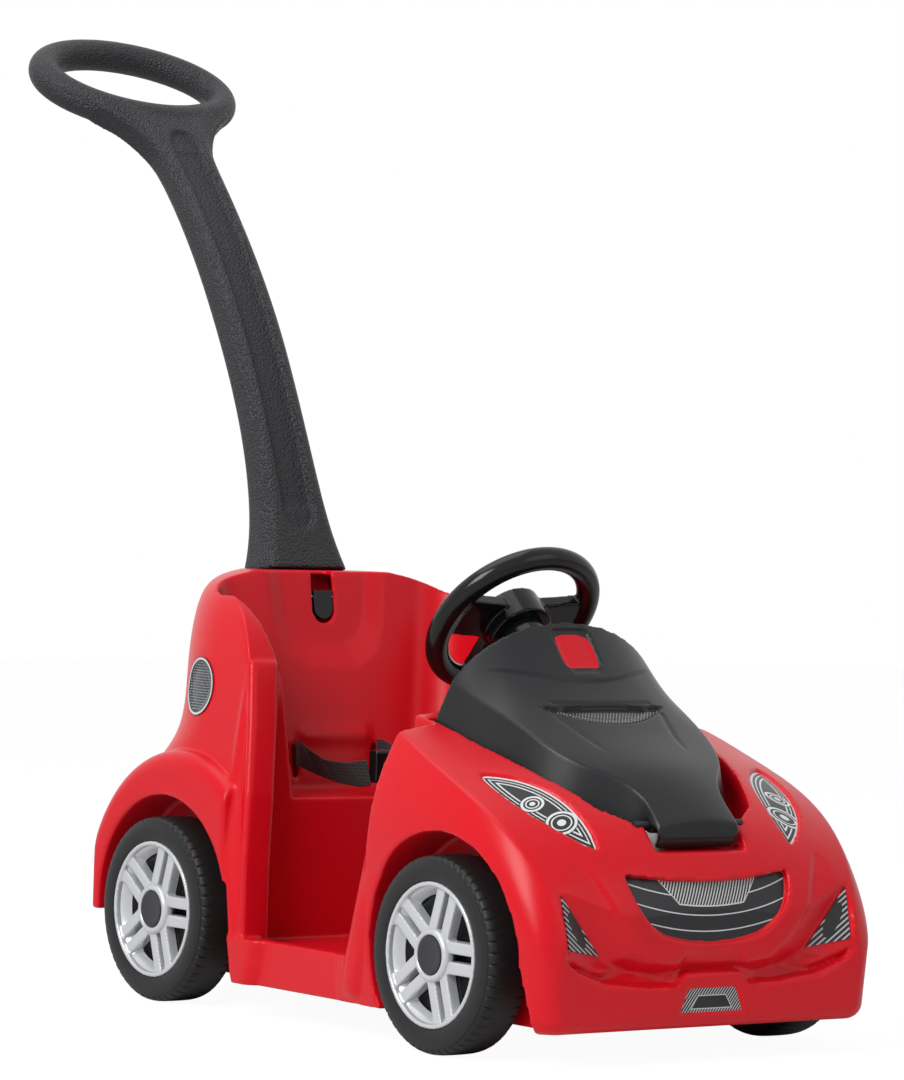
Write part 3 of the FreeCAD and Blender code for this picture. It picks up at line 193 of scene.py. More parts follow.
# A slab between two widths, from an outline of (x, z); lean(z) shifts it sideways, in millimetres
def slab(name, outline, near, far, edge, lean=lambda z: 0):
    points = [(x / 1000, (y - lean(z)) / 1000, z / 1000) for y in (near, far) for x, z in outline]
    count = len(outline)
    sides = [(i, (i + 1) % count, count + (i + 1) % count, count + i) for i in range(count)]
    ends = [tuple(range(count)), tuple(range(2 * count - 1, count - 1, -1))]
    mesh = bpy.data.meshes.new(name)
    mesh.from_pydata(points, [], ends + sides)
    piece = bpy.data.objects.new(name, mesh)
    bpy.context.scene.collection.objects.link(piece)
    selectOnly(piece)
    bpy.ops.object.mode_set(mode="EDIT")
    bpy.ops.mesh.select_all(action="SELECT")
    bpy.ops.mesh.normals_make_consistent(inside=False)
    bpy.ops.object.mode_set(mode="OBJECT")
    applyModifier(piece, "BEVEL", width=edge / 1000, segments=4, limit_method="ANGLE",
                  angle_limit=math.radians(50))
    return piece


# Rotomoulded polyethylene: deep even colour, soft gloss with a faint orange-peel ripple
def mouldedRed():
    material, tree, shader = newMaterial("rotomoulded_polyethylene_red", "cb0b1c", Roughness=0.32,
                                         Specular_IOR_Level=0.22)
    place = addNode(tree, "ShaderNodeTexCoord")
    ripple = addNode(tree, "ShaderNodeTexNoise", {"Scale": 220.0, "Detail": 2.0},
                     {"Vector": place.outputs["Object"]})
    bump = addNode(tree, "ShaderNodeBump", {"Strength": 0.05, "Distance": 0.0006},
                   {"Height": ripple.outputs["Fac"]})
    tree.links.new(bump.outputs["Normal"], shader.inputs["Normal"])
    return material


# Plain mouldings and plated steel: a fine etched texture, grain in millimetres and depth in metres
def fineGrained(name, colour, roughness, grain, depth):
    material, tree, shader = newMaterial(name, colour, Roughness=roughness, Specular_IOR_Level=0.25)
    place = addNode(tree, "ShaderNodeTexCoord")
    etch = addNode(tree, "ShaderNodeTexNoise", {"Scale": 1000.0 / grain, "Detail": 3.0},
                   {"Vector": place.outputs["Object"]})
    bump = addNode(tree, "ShaderNodeBump", {"Strength": 0.3, "Distance": depth},
                   {"Height": etch.outputs["Fac"]})
    tree.links.new(bump.outputs["Normal"], shader.inputs["Normal"])
    return material


# Pebble-grained polyethylene of the handle: round raised beads about 2.5 mm across
def pebbleCharcoal():
    material, tree, shader = newMaterial("pebble_grained_polyethylene", "232427", Roughness=0.42,
                                         Specular_IOR_Level=0.28)
    place = addNode(tree, "ShaderNodeTexCoord")
    beads = addNode(tree, "ShaderNodeTexVoronoi", {"Scale": 400.0}, {"Vector": place.outputs["Object"]})
    bump = addNode(tree, "ShaderNodeBump", {"Strength": 0.85, "Distance": 0.0016},
                   {"Height": beads.outputs["Distance"]}, invert=True)
    tree.links.new(bump.outputs["Normal"], shader.inputs["Normal"])
    return material


# Woven polyester webbing: ribs along the strap about 3 mm apart, broken by a twill of about 5 mm
def wovenWebbing():
    material, tree, shader = newMaterial("woven_polyester_webbing", "151517", Roughness=0.75,
                                         Sheen_Weight=0.25)
    place = addNode(tree, "ShaderNodeTexCoord")
    ribs = addNode(tree, "ShaderNodeTexWave", {"Scale": 99.522293, "Distortion": 0.4},
                   {"Vector": place.outputs["Object"]}, bands_direction="Z")
    twill = addNode(tree, "ShaderNodeTexWave", {"Scale": 72.379849, "Distortion": 0.4},
                    {"Vector": place.outputs["Object"]}, bands_direction="DIAGONAL")
    weave = addNode(tree, "ShaderNodeMath", {}, {0: ribs.outputs["Fac"], 1: twill.outputs["Fac"]},
                    operation="MULTIPLY")
    bump = addNode(tree, "ShaderNodeBump", {"Strength": 0.7, "Distance": 0.0006},
                   {"Height": weave.outputs[0]})
    tree.links.new(bump.outputs["Normal"], shader.inputs["Normal"])
    return material


# Screen-printed vinyl film, and the rims' silver paint with near-black painted shade in their deep
# openings: a glossy dark ground with pale ink, drawn by rows of sums in millimetres
def printedFilm(name, ground, pale, rows):
    material, tree, shader = newMaterial(name, ground, Roughness=0.3, Specular_IOR_Level=0.25)
    place = addNode(tree, "ShaderNodeTexCoord")
    spot = addNode(tree, "ShaderNodeVectorMath", {1: (1000, 1000, 1000)}, {0: place.outputs["Object"]},
                   operation="MULTIPLY")
    axes = addNode(tree, "ShaderNodeSeparateXYZ", {}, {0: spot.outputs[0]})
    known = {"x": axes.outputs[0], "y": axes.outputs[1], "z": axes.outputs[2]}
    for key, operation, *terms in rows:
        values = {i: term for i, term in enumerate(terms) if not isinstance(term, str)}
        links = {i: known[term] for i, term in enumerate(terms) if isinstance(term, str)}
        known[key] = addNode(tree, "ShaderNodeMath", values, links, operation=operation).outputs[0]
    mix = addNode(tree, "ShaderNodeMix", {6: linearColour(ground), 7: linearColour(pale)},
                  {0: known["ink"]}, data_type="RGBA")
    tree.links.new(mix.outputs[2], shader.inputs["Base Color"])
    return material


# Rim colouring: silver paint on faces and walls; the deep openings between the spokes get painted shade, a
# near-black colour
rimSilverAndPaintedShade = (
    ("side", "ABSOLUTE", "y"),
    ("deep", "LESS_THAN", "side", 194.6),
    ("ink", "SUBTRACT", 1.0, "deep"),
)

# Grille print: three bowed stripes and a hatched middle field with a pale edge
grilleInk = (
    ("side", "ABSOLUTE", "y"),
    ("square", "MULTIPLY", "y", "y"),
    ("level", "MULTIPLY_ADD", "square", -0.00175, "z"),
    ("lineOne", "COMPARE", "level", 144.3, 0.55),
    ("lineTwo", "COMPARE", "level", 129.3, 0.55),
    ("lineThree", "COMPARE", "level", 115.3, 0.55),
    ("rise", "SUBTRACT", "level", 137.4),
    ("edge", "MULTIPLY_ADD", "rise", 1.03, 37.0),
    ("reach", "SUBTRACT", "edge", "side"),
    ("across", "GREATER_THAN", "reach", 0.0),
    ("above", "GREATER_THAN", "rise", 0.0),
    ("inside", "MULTIPLY", "across", "above"),
    ("lean", "MULTIPLY_ADD", "z", -0.55, "y"),
    ("turns", "DIVIDE", "lean", 3.4),
    ("cell", "FRACT", "turns"),
    ("stroke", "LESS_THAN", "cell", 0.42),
    ("hatch", "MULTIPLY", "stroke", "inside"),
    ("sideEdge", "COMPARE", "reach", 0.0, 0.7),
    ("sideRim", "MULTIPLY", "sideEdge", "above"),
    ("footEdge", "COMPARE", "rise", 0.0, 0.6),
    ("wide", "GREATER_THAN", "reach", -0.7),
    ("footRim", "MULTIPLY", "footEdge", "wide"),
    ("upperLines", "MAXIMUM", "lineOne", "lineTwo"),
    ("lines", "MAXIMUM", "upperLines", "lineThree"),
    ("outside", "SUBTRACT", 1.0, "inside"),
    ("stripes", "MULTIPLY", "lines", "outside"),
    ("rims", "MAXIMUM", "sideRim", "footRim"),
    ("field", "MAXIMUM", "hatch", "stripes"),
    ("ink", "MAXIMUM", "field", "rims"),
)

# Intake print: hatched field round a plain dark wedge with a pale edge
intakeInk = (
    ("side", "ABSOLUTE", "y"),
    ("drop", "SUBTRACT", 59.8, "z"),
    ("edge", "MULTIPLY_ADD", "drop", 0.67, 15.8),
    ("reach", "SUBTRACT", "edge", "side"),
    ("height", "SUBTRACT", "z", 47.5),
    ("across", "GREATER_THAN", "reach", 0.0),
    ("below", "GREATER_THAN", "drop", 0.0),
    ("above", "GREATER_THAN", "height", 0.0),
    ("band", "MULTIPLY", "below", "above"),
    ("wedge", "MULTIPLY", "across", "band"),
    ("inner", "MINIMUM", "reach", "drop"),
    ("core", "MINIMUM", "inner", "height"),
    ("rim", "LESS_THAN", "core", 0.9),
    ("edgeLine", "MULTIPLY", "rim", "wedge"),
    ("lean", "MULTIPLY_ADD", "z", -0.8, "y"),
    ("turns", "DIVIDE", "lean", 3.2),
    ("cell", "FRACT", "turns"),
    ("stroke", "LESS_THAN", "cell", 0.4),
    ("outside", "SUBTRACT", 1.0, "wedge"),
    ("hatch", "MULTIPLY", "stroke", "outside"),
    ("ink", "MAXIMUM", "hatch", "edgeLine"),
)

# Side vent print: slanting strokes round a plain dark leaf, mirrored left and right
ventInk = (
    ("side", "ABSOLUTE", "y"),
    ("tall", "SUBTRACT", "z", 120.0),
    ("deep", "SUBTRACT", "side", 147.0),
    ("alongPart", "MULTIPLY", "tall", 0.0472),
    ("along", "MULTIPLY_ADD", "deep", 0.0294, "alongPart"),
    ("acrossPart", "MULTIPLY", "tall", -0.0883),
    ("across", "MULTIPLY_ADD", "deep", 0.1417, "acrossPart"),
    ("alongSquare", "MULTIPLY", "along", "along"),
    ("leaf", "MULTIPLY_ADD", "across", "across", "alongSquare"),
    ("outside", "GREATER_THAN", "leaf", 1.0),
    ("lean", "MULTIPLY_ADD", "side", -0.75, "z"),
    ("turns", "DIVIDE", "lean", 4.6),
    ("cell", "FRACT", "turns"),
    ("stroke", "LESS_THAN", "cell", 0.36),
    ("ink", "MULTIPLY", "stroke", "outside"),
)

# Headlamp print: pale leaf edge, two fine inner lines and two ringed lamps, mirrored left and right
lampInk = (
    ("side", "ABSOLUTE", "y"),
    ("outerX", "SUBTRACT", "x", 478.3),
    ("outerY", "SUBTRACT", "side", 206.6),
    ("outerSquare", "MULTIPLY", "outerX", "outerX"),
    ("outerSum", "MULTIPLY_ADD", "outerY", "outerY", "outerSquare"),
    ("outerArc", "SQRT", "outerSum"),
    ("innerX", "SUBTRACT", "x", 409.7),
    ("innerY", "SUBTRACT", "side", 65.4),
    ("innerSquare", "MULTIPLY", "innerX", "innerX"),
    ("innerSum", "MULTIPLY_ADD", "innerY", "innerY", "innerSquare"),
    ("innerArc", "SQRT", "innerSum"),
    ("far", "MAXIMUM", "outerArc", "innerArc"),
    ("rim", "SUBTRACT", 98.45, "far"),
    ("border", "LESS_THAN", "rim", 2.4),
    ("fineLine", "COMPARE", "rim", 5.4, 0.6),
    ("streak", "COMPARE", "rim", 9.5, 0.8),
    ("levelPart", "MULTIPLY", "x", 0.71),
    ("levelSum", "MULTIPLY_ADD", "side", -0.643, "levelPart"),
    ("level", "MULTIPLY_ADD", "z", -0.295, "levelSum"),
    ("slopePart", "MULTIPLY", "x", 0.683),
    ("slopeSum", "MULTIPLY_ADD", "side", 0.518, "slopePart"),
    ("slope", "MULTIPLY_ADD", "z", -0.514, "slopeSum"),
    ("smallU", "SUBTRACT", "level", 156.7),
    ("smallDrop", "SUBTRACT", "slope", 260.4),
    ("smallV", "MULTIPLY", "smallDrop", 0.75),
    ("smallSquare", "MULTIPLY", "smallU", "smallU"),
    ("smallSum", "MULTIPLY_ADD", "smallV", "smallV", "smallSquare"),
    ("small", "SQRT", "smallSum"),
    ("largeU", "SUBTRACT", "level", 187.5),
    ("largeDrop", "SUBTRACT", "slope", 278.6),
    ("largeV", "MULTIPLY", "largeDrop", 0.75),
    ("largeSquare", "MULTIPLY", "largeU", "largeU"),
    ("largeSum", "MULTIPLY_ADD", "largeV", "largeV", "largeSquare"),
    ("large", "SQRT", "largeSum"),
    ("smallRing", "COMPARE", "small", 8.4, 1.1),
    ("smallInner", "COMPARE", "small", 5.2, 0.6),
    ("smallSpot", "LESS_THAN", "small", 2.4),
    ("largeRing", "COMPARE", "large", 11.6, 1.2),
    ("largeMiddle", "COMPARE", "large", 8.0, 0.6),
    ("largeSpot", "LESS_THAN", "large", 3.6),
    ("smallClear", "GREATER_THAN", "small", 10.4),
    ("largeClear", "GREATER_THAN", "large", 13.6),
    ("clear", "MULTIPLY", "smallClear", "largeClear"),
    ("fineLines", "MAXIMUM", "fineLine", "streak"),
    ("groundLines", "MULTIPLY", "fineLines", "clear"),
    ("smallPair", "MAXIMUM", "smallRing", "smallInner"),
    ("smallLamp", "MAXIMUM", "smallPair", "smallSpot"),
    ("smallSeen", "MULTIPLY", "smallLamp", "largeClear"),
    ("largePair", "MAXIMUM", "largeRing", "largeMiddle"),
    ("largeLamp", "MAXIMUM", "largePair", "largeSpot"),
    ("lamps", "MAXIMUM", "smallSeen", "largeLamp"),
    ("marks", "MAXIMUM", "lamps", "groundLines"),
    ("ink", "MAXIMUM", "marks", "border"),
)

# Fuel cap print: a dark disc with a fine pale ring and rows of small dots
fuelCapInk = (
    ("across", "SUBTRACT", "x", -39.5),
    ("tall", "SUBTRACT", "z", 301.0),
    ("square", "MULTIPLY", "across", "across"),
    ("sum", "MULTIPLY_ADD", "tall", "tall", "square"),
    ("radius", "SQRT", "sum"),
    ("ring", "COMPARE", "radius", 26.2, 1.0),
    ("within", "LESS_THAN", "radius", 23.6),
    ("acrossTurns", "DIVIDE", "x", 2.6),
    ("acrossCell", "FRACT", "acrossTurns"),
    ("acrossOff", "SUBTRACT", "acrossCell", 0.5),
    ("tallTurns", "DIVIDE", "z", 2.6),
    ("tallCell", "FRACT", "tallTurns"),
    ("tallOff", "SUBTRACT", "tallCell", 0.5),
    ("offSquare", "MULTIPLY", "acrossOff", "acrossOff"),
    ("offSum", "MULTIPLY_ADD", "tallOff", "tallOff", "offSquare"),
    ("dot", "LESS_THAN", "offSum", 0.035),
    ("dots", "MULTIPLY", "dot", "within"),
    ("ink", "MAXIMUM", "ring", "dots"),
)

# Hood mesh print: two offset sets of round holes, 3.6 mm apart across and 4.2 mm along, leave a web
meshInk = (
    ("acrossTurns", "DIVIDE", "y", 3.6),
    ("acrossCell", "FRACT", "acrossTurns"),
    ("acrossOne", "SUBTRACT", "acrossCell", 0.5),
    ("downTurns", "DIVIDE", "x", 4.2),
    ("downCell", "FRACT", "downTurns"),
    ("downOne", "SUBTRACT", "downCell", 0.5),
    ("squareOne", "MULTIPLY", "acrossOne", "acrossOne"),
    ("holeOne", "MULTIPLY_ADD", "downOne", "downOne", "squareOne"),
    ("acrossShift", "ADD", "acrossTurns", 0.5),
    ("acrossNext", "FRACT", "acrossShift"),
    ("acrossTwo", "SUBTRACT", "acrossNext", 0.5),
    ("downShift", "ADD", "downTurns", 0.5),
    ("downNext", "FRACT", "downShift"),
    ("downTwo", "SUBTRACT", "downNext", 0.5),
    ("squareTwo", "MULTIPLY", "acrossTwo", "acrossTwo"),
    ("holeTwo", "MULTIPLY_ADD", "downTwo", "downTwo", "squareTwo"),
    ("nearest", "MINIMUM", "holeOne", "holeTwo"),
    ("ink", "GREATER_THAN", "nearest", 0.11),
)

finishes = {
    "red": mouldedRed(),
    "hood": fineGrained("satin_polyethylene_black", "1b1c1e", 0.34, 0.6, 0.0002),
    "handle": pebbleCharcoal(),
    "gloss": fineGrained("gloss_polypropylene_black", "0f1011", 0.16, 3.0, 0.0001),
    "tyre": fineGrained("moulded_tyre_polyethylene", "191a1b", 0.44, 0.8, 0.0003),
    # the rims' near-black ground is painted shade, laid on the deep openings between the spokes
    "rim": printedFilm("silver_paint_and_painted_shade_polypropylene", "0c0c0d", "c2c4c7", rimSilverAndPaintedShade),
    "cap": fineGrained("grey_polypropylene", "2c2d30", 0.28, 1.0, 0.0001),
    "steel": fineGrained("zinc_plated_steel", "b5b8bb", 0.32, 0.5, 0.00005),
    "bush": fineGrained("natural_nylon", "2b2c2e", 0.5, 0.8, 0.0001),
    "belt": wovenWebbing(),
    "grille": printedFilm("printed_vinyl_grille", "26272a", "c9cccd", grilleInk),
    "intake": printedFilm("printed_vinyl_intake", "26272a", "b9bcbe", intakeInk),
    "vent": printedFilm("printed_vinyl_vent", "1d1e20", "b0b3b5", ventInk),
    "lamp": printedFilm("printed_vinyl_headlamp", "2b2d30", "dcdedf", lampInk),
    "fuelCap": printedFilm("printed_vinyl_fuel_cap", "303235", "c6c9ca", fuelCapInk),
    "mesh": printedFilm("printed_vinyl_mesh", "070708", "8b8e91", meshInk),
}
for key, metallic in (("steel", 1.0), ("rim", 0.35)):
    shader = finishes[key].node_tree.nodes["Principled BSDF"]
    shader.inputs["Metallic"].default_value = metallic

nodeFinish = {
    "hood": "hood", "dash_panel": "gloss", "column_collar": "gloss", "latch_tab": "gloss",
    "belt_buckle": "gloss", "push_handle": "handle", "steering_wheel": "gloss", "horn_button": "gloss",
    "body_shell": "red", "hood_badge_plate": "red", "grille_panel": "grille",
    "lower_intake_panel": "intake", "fuel_cap_disc": "fuelCap", "hood_mesh_panel": "mesh",
    "hood_pin": "bush", "front_axle_bushes": "bush", "rear_axle_bushes": "bush",
}
prefixFinish = {
    "tyre_": "tyre", "rim_": "rim", "hub_cap_": "cap", "belt_strap": "belt", "headlamp": "lamp",
    "side_vent": "vent",
}
for name, node in nodes.items():
    finish = nodeFinish.get(name)
    for prefix, value in prefixFinish.items():
        if finish is None and name.startswith(prefix):
            finish = value
    wear(node, finishes[finish or "steel"])
    selectOnly(node)
    bpy.ops.object.shade_smooth_by_angle(angle=math.radians(35))
print("finishes on the frame")

# Body shell: soft moulded edges, a low ridge across the small of the seat back, a shelf over the
# bumper and a chin that curls under; pairs say where a change starts and ends
bodyForm = {
    "voxel": 0.0019, "rounds": 8, "triangles": 196000,
    "ridgeHeight": 252, "ridgeRise": 3.0, "ridgeSpread": 9, "ridgeHalf": (34, 50),
    "ridgeBack": (-85, -75), "ridgeFront": (-40, -30), "ridgeFacing": (0.4, 0.7),
    "shelfEdge": ((0, 79), (30, 79), (40, 68), (75, 68), (120, 74), (150, 84), (166, 94)),
    "shelfTall": ((0, 26), (95, 26), (122, 11), (166, 8)), "shelfDepth": 7,
    "shelfStep": (0, 0.12), "shelfFade": (0.15, 1), "shelfEnd": (150, 172), "shelfFront": (495, 505),
    "chinFoot": 30, "chinRound": 14, "chinFront": (474, 486),
    "noseMiddle": 300, "noseReach": 227, "noseHalf": 200, "nosePower": 5,
}


def seatRidge(x, y, z, normals):
    facing = ease(*bodyForm["ridgeFacing"], normals[:, 0])
    facing = facing * ease(*bodyForm["ridgeBack"], x) * (1 - ease(*bodyForm["ridgeFront"], x))
    ridge = np.exp(-((z - bodyForm["ridgeHeight"]) / bodyForm["ridgeSpread"]) ** 2)
    across = 1 - ease(*bodyForm["ridgeHalf"], abs(y))
    return normals * (bodyForm["ridgeRise"] * facing * ridge * across)[:, None]


def bumperShelf(x, y, z):
    edge, tall = (np.array(bodyForm[key], float).T for key in ("shelfEdge", "shelfTall"))
    above = (z - np.interp(abs(y), *edge)) / np.interp(abs(y), *tall)
    shelf = ease(*bodyForm["shelfStep"], above) * (1 - ease(*bodyForm["shelfFade"], above))
    shelf = shelf * (1 - ease(*bodyForm["shelfEnd"], abs(y)))
    return bodyForm["shelfDepth"] * shelf * ease(*bodyForm["shelfFront"], x)


def chinCurl(x, y, z):
    curl, power = bodyForm["chinRound"], bodyForm["nosePower"]
    reach, half = bodyForm["noseReach"], bodyForm["noseHalf"]
    drop = np.clip(bodyForm["chinFoot"] + curl - z, 0, curl)
    inset = (curl - np.sqrt(curl * curl - drop * drop)) * ease(*bodyForm["chinFront"], x)
    outward = np.stack(((np.maximum(x - bodyForm["noseMiddle"], 0) / reach) ** power / reach,
                        (y / half) ** power / half), axis=1)
    return outward / (np.linalg.norm(outward, axis=1)[:, None] + 1e-9) * inset[:, None]


def bodyMoves(spots, normals):
    x, y, z = spots.T
    shift = seatRidge(x, y, z, normals)
    shift[:, 0] -= bumperShelf(x, y, z)
    shift[:, :2] -= chinCurl(x, y, z)
    return shift


# Legs of the wings and of the cowl beside the door opening: outlines of (x, z), between two widths
legForm = {
    "wing": ((62, 34), (55, 88), (50, 125), (36, 160), (36, 330),
             (46, 330), (62, 270), (76, 205), (82, 140), (82, 34)),
    "cowl": ((266, 34), (279, 88), (284, 125), (302, 160), (302, 214),
             (276, 214), (264, 172), (250, 116), (238, 72), (232, 34)),
    "inner": 165, "outer": 197.5, "edge": 14, "leanFrom": 165, "lean": 0.165,
}


def doorLeg(key, side):
    near, far = sorted((side * legForm["inner"], side * legForm["outer"]))
    return slab(key + "_leg", legForm[key], near, far, legForm["edge"],
                lambda z: side * legForm["lean"] * max(0, z - legForm["leanFrom"]))


# Webs that join the rear wall to the fenders
webForm = {"outline": ((-169, 79), (-169, 178), (-154, 178), (-154, 79)),
           "inner": 129, "outer": 146, "edge": 2.0}


def rearWeb(side):
    near, far = sorted((side * webForm["inner"], side * webForm["outer"]))
    return slab("rear_web", webForm["outline"], near, far, webForm["edge"])


legs = [doorLeg(key, side) for key in ("wing", "cowl") for side in (-1, 1)]
webs = [rearWeb(side) for side in (-1, 1)]
body = softCopy("body_shell", "moulded_body", bodyForm, "fuel_cap_disc", *legs, *webs)
sculpt(body, bodyMoves)
thin(body, bodyForm["triangles"])
finishPiece(body, finishes["red"], "chassis", "red_moulding", "body_shell")

# Fuel cap film: a round print laid on the right wing
fuelCap = {"centre": (-39.5, 301.0), "radius": 28.0, "start": -230.0, "columns": 40, "rows": 40,
           "lift": 0.0006, "thickness": 0.0006}


def fuelCapPlace(u, v):
    a, b = 2 * u - 1, 2 * v - 1  # square to disc
    across = a * np.sqrt(1 - b * b / 2)
    tall = b * np.sqrt(1 - a * a / 2)
    x, z = fuelCap["centre"]
    return x + fuelCap["radius"] * across, np.full(len(u), fuelCap["start"]), z + fuelCap["radius"] * tall


capFilm = laidGrid("fuel_cap_film", fuelCap["columns"], fuelCap["rows"], fuelCapPlace)
applyModifier(capFilm, "SHRINKWRAP", target=body, wrap_method="PROJECT", use_project_y=True,
              use_positive_direction=True, use_negative_direction=False, offset=fuelCap["lift"],
              project_limit=0.0)
applyModifier(capFilm, "SOLIDIFY", thickness=fuelCap["thickness"], offset=1.0)
finishPiece(capFilm, finishes["fuelCap"], "chassis", "printed_film", "fuel_cap_disc")

# Hood: domed rear with a soft lip, sunk crescent vent, badge recess, two short creases and a lip under
# its tongue; lip and vent edges are bowed lines: x at the middle and its change with y squared
hoodForm = {
    "voxel": 0.0016, "rounds": 5, "triangles": 150000, "skinFacing": (0.10, 0.25), "edgeStep": (0, 2.5),
    "lip": (343, -0.0038), "lipDrop": 2.2, "lipFade": 18, "lipEnd": (70, 100),
    "ventTop": (364, -0.0012), "ventFoot": (390, -0.0055), "ventDepth": 4.5, "ventRise": (-8, 0),
    "badgeCentre": (320.5, 0, 355), "badgeSlope": (0.611, 0, -0.792), "badgeHalf": 22,
    "badgeCorner": 7, "badgeDepth": 3.0, "badgeStep": (-1.6, 0.4),
    "crease": ((370, 62), (388, 56), (403, 51), (430, 45)), "creaseDepth": 1.2, "creaseWidth": 3.0,
    "creaseEnd": (400, 430),
    "tongueLip": ((501, 208), (501, 199), (498.5, 191), (494.5, 186),
                  (490.5, 188), (494, 193), (496, 200), (496, 208)),
    "tongueHalf": 44, "tongueEdge": 1.4,
}


def roundedSquare(spots):
    offset = spots - np.array(hoodForm["badgeCentre"])
    along = abs(offset @ np.array(hoodForm["badgeSlope"]))
    straight = hoodForm["badgeHalf"] - hoodForm["badgeCorner"]
    beyond = np.hypot(np.maximum(along - straight, 0), np.maximum(abs(offset[:, 1]) - straight, 0))
    return beyond - hoodForm["badgeCorner"]


def creaseGap(spots):
    flat = np.stack((spots[:, 0], abs(spots[:, 1])), axis=1)
    gap = np.full(len(spots), 1e6)
    for start, end in zip(hoodForm["crease"], hoodForm["crease"][1:]):
        run = np.array(end) - np.array(start)
        share = np.clip((flat - start) @ run / (run @ run), 0, 1)
        gap = np.minimum(gap, np.linalg.norm(flat - start - share[:, None] * run, axis=1))
    return gap


def bowed(curve, y):
    return curve[0] + curve[1] * y * y


def hoodMoves(spots, normals):
    x, y = spots[:, 0], spots[:, 1]
    past = x - bowed(hoodForm["lip"], y)
    lip = ease(*hoodForm["edgeStep"], past) * np.exp(-np.maximum(past, 0) / hoodForm["lipFade"])
    lip = lip * (1 - ease(*hoodForm["lipEnd"], abs(y)))
    vent = ease(*hoodForm["edgeStep"], x - bowed(hoodForm["ventTop"], y))
    vent = vent * (1 - ease(*hoodForm["ventRise"], x - bowed(hoodForm["ventFoot"], y)))
    badge = 1 - ease(*hoodForm["badgeStep"], roundedSquare(spots))
    crease = np.exp(-(creaseGap(spots) / hoodForm["creaseWidth"]) ** 2)
    crease = crease * (1 - ease(*hoodForm["creaseEnd"], x))
    sink = (hoodForm["lipDrop"] * lip + hoodForm["ventDepth"] * vent + hoodForm["badgeDepth"] * badge
            + hoodForm["creaseDepth"] * crease)
    rise = normals[:, 2]
    skin = ease(*hoodForm["skinFacing"], abs(rise)) * np.sign(rise)  # both skins move together
    return -normals * (sink * skin)[:, None]


tongueLip = slab("tongue_lip", hoodForm["tongueLip"], -hoodForm["tongueHalf"], hoodForm["tongueHalf"],
                 hoodForm["tongueEdge"])
hood = softCopy("hood", "hood_cover", hoodForm, "hood_mesh_panel", "hood_badge_plate", tongueLip)
sculpt(hood, hoodMoves)
thin(hood, hoodForm["triangles"])
finishPiece(hood, finishes["hood"], "hood", "black_moulding", "hood")


# Mesh film and badge lie on the hood's shaped skin: dropped on it from above, then given their thickness
dropHeight = 420.0
meshForm = {"reach": 71, "top": 2.2, "foot": 4.5, "least": 0.4, "columns": 90, "rows": 14,
            "lift": 0.0004, "thickness": 0.0003}
badgeForm = {"half": 20.4, "cornerPull": 0.14, "columns": 24, "rows": 24,
             "lift": 0.0006, "thickness": 0.0012, "edge": 0.0004}


def layOnHood(piece, form):
    applyModifier(piece, "SHRINKWRAP", target=hood, wrap_method="PROJECT", use_project_z=True,
                  use_negative_direction=True, use_positive_direction=False, offset=form["lift"],
                  project_limit=0.0)
    applyModifier(piece, "SOLIDIFY", thickness=form["thickness"], offset=1.0)


def meshPlace(u, v):
    y = (2 * u - 1) * meshForm["reach"]
    top = bowed(hoodForm["ventTop"], y) + meshForm["top"]
    foot = np.maximum(bowed(hoodForm["ventFoot"], y) - meshForm["foot"], top + meshForm["least"])
    return top + (foot - top) * v, y, np.full(len(u), dropHeight)


def badgePlace(u, v):
    a, b = 2 * u - 1, 2 * v - 1
    half, pull = badgeForm["half"], badgeForm["cornerPull"]
    across = half * a * (1 - pull * b ** 4)
    along = half * b * (1 - pull * a ** 4)
    centre, slope = hoodForm["badgeCentre"], hoodForm["badgeSlope"]
    return centre[0] + slope[0] * along, across, np.full(len(u), dropHeight)


meshFilm = laidGrid("hood_mesh_film", meshForm["columns"], meshForm["rows"], meshPlace)
layOnHood(meshFilm, meshForm)
finishPiece(meshFilm, finishes["mesh"], "hood", "printed_film", "hood_mesh_panel")
badge = laidGrid("hood_badge", badgeForm["columns"], badgeForm["rows"], badgePlace)
layOnHood(badge, badgeForm)
applyModifier(badge, "BEVEL", width=badgeForm["edge"], segments=2)
finishPiece(badge, finishes["red"], "hood", "red_moulding", "hood_badge_plate")

# Push handle: soft edges and the long U-ended panel sunk in its front face
handleForm = {
    "voxel": 0.0024, "rounds": 6, "triangles": 150000,
    "panelHalf": 19, "panelFoot": 470, "panelHead": 838, "panelDepth": 3.4,
    "panelStep": (-2.5, 0.8), "panelFacing": (0.45, 0.75),
}


def handleMoves(spots, normals):
    y, z = spots[:, 1], spots[:, 2]
    past = np.maximum(handleForm["panelFoot"] - z, 0) + np.maximum(z - handleForm["panelHead"], 0)
    panel = 1 - ease(*handleForm["panelStep"], np.hypot(y, past) - handleForm["panelHalf"])
    front = ease(*handleForm["panelFacing"], normals[:, 0])
    return -normals * (handleForm["panelDepth"] * panel * front)[:, None]


# Neck of the handle: a thick sheet that spreads into the grip loop in a round fillet
neckForm = {"head": (-392, 868), "run": (0.655, -0.756), "length": 105, "start": 15, "wide": 80,
            "narrow": 25, "back": (-21, 15), "columns": 40, "rows": 24, "thickness": 0.026, "edge": 0.008}


def neckPlace(u, v):
    run = neckForm["length"] * u
    left = 1 - np.clip((run - neckForm["start"]) / (neckForm["length"] - neckForm["start"]), 0, 1)
    fillet = 1 - np.sqrt(1 - left * left)
    half = neckForm["narrow"] + (neckForm["wide"] - neckForm["narrow"]) * fillet
    y = (2 * v - 1) * half
    back = (y / neckForm["wide"]) ** 2 * (1 - u) ** 2
    x, z = (head + step * run + shift * back for head, step, shift
            in zip(neckForm["head"], neckForm["run"], neckForm["back"]))
    return x, y, z


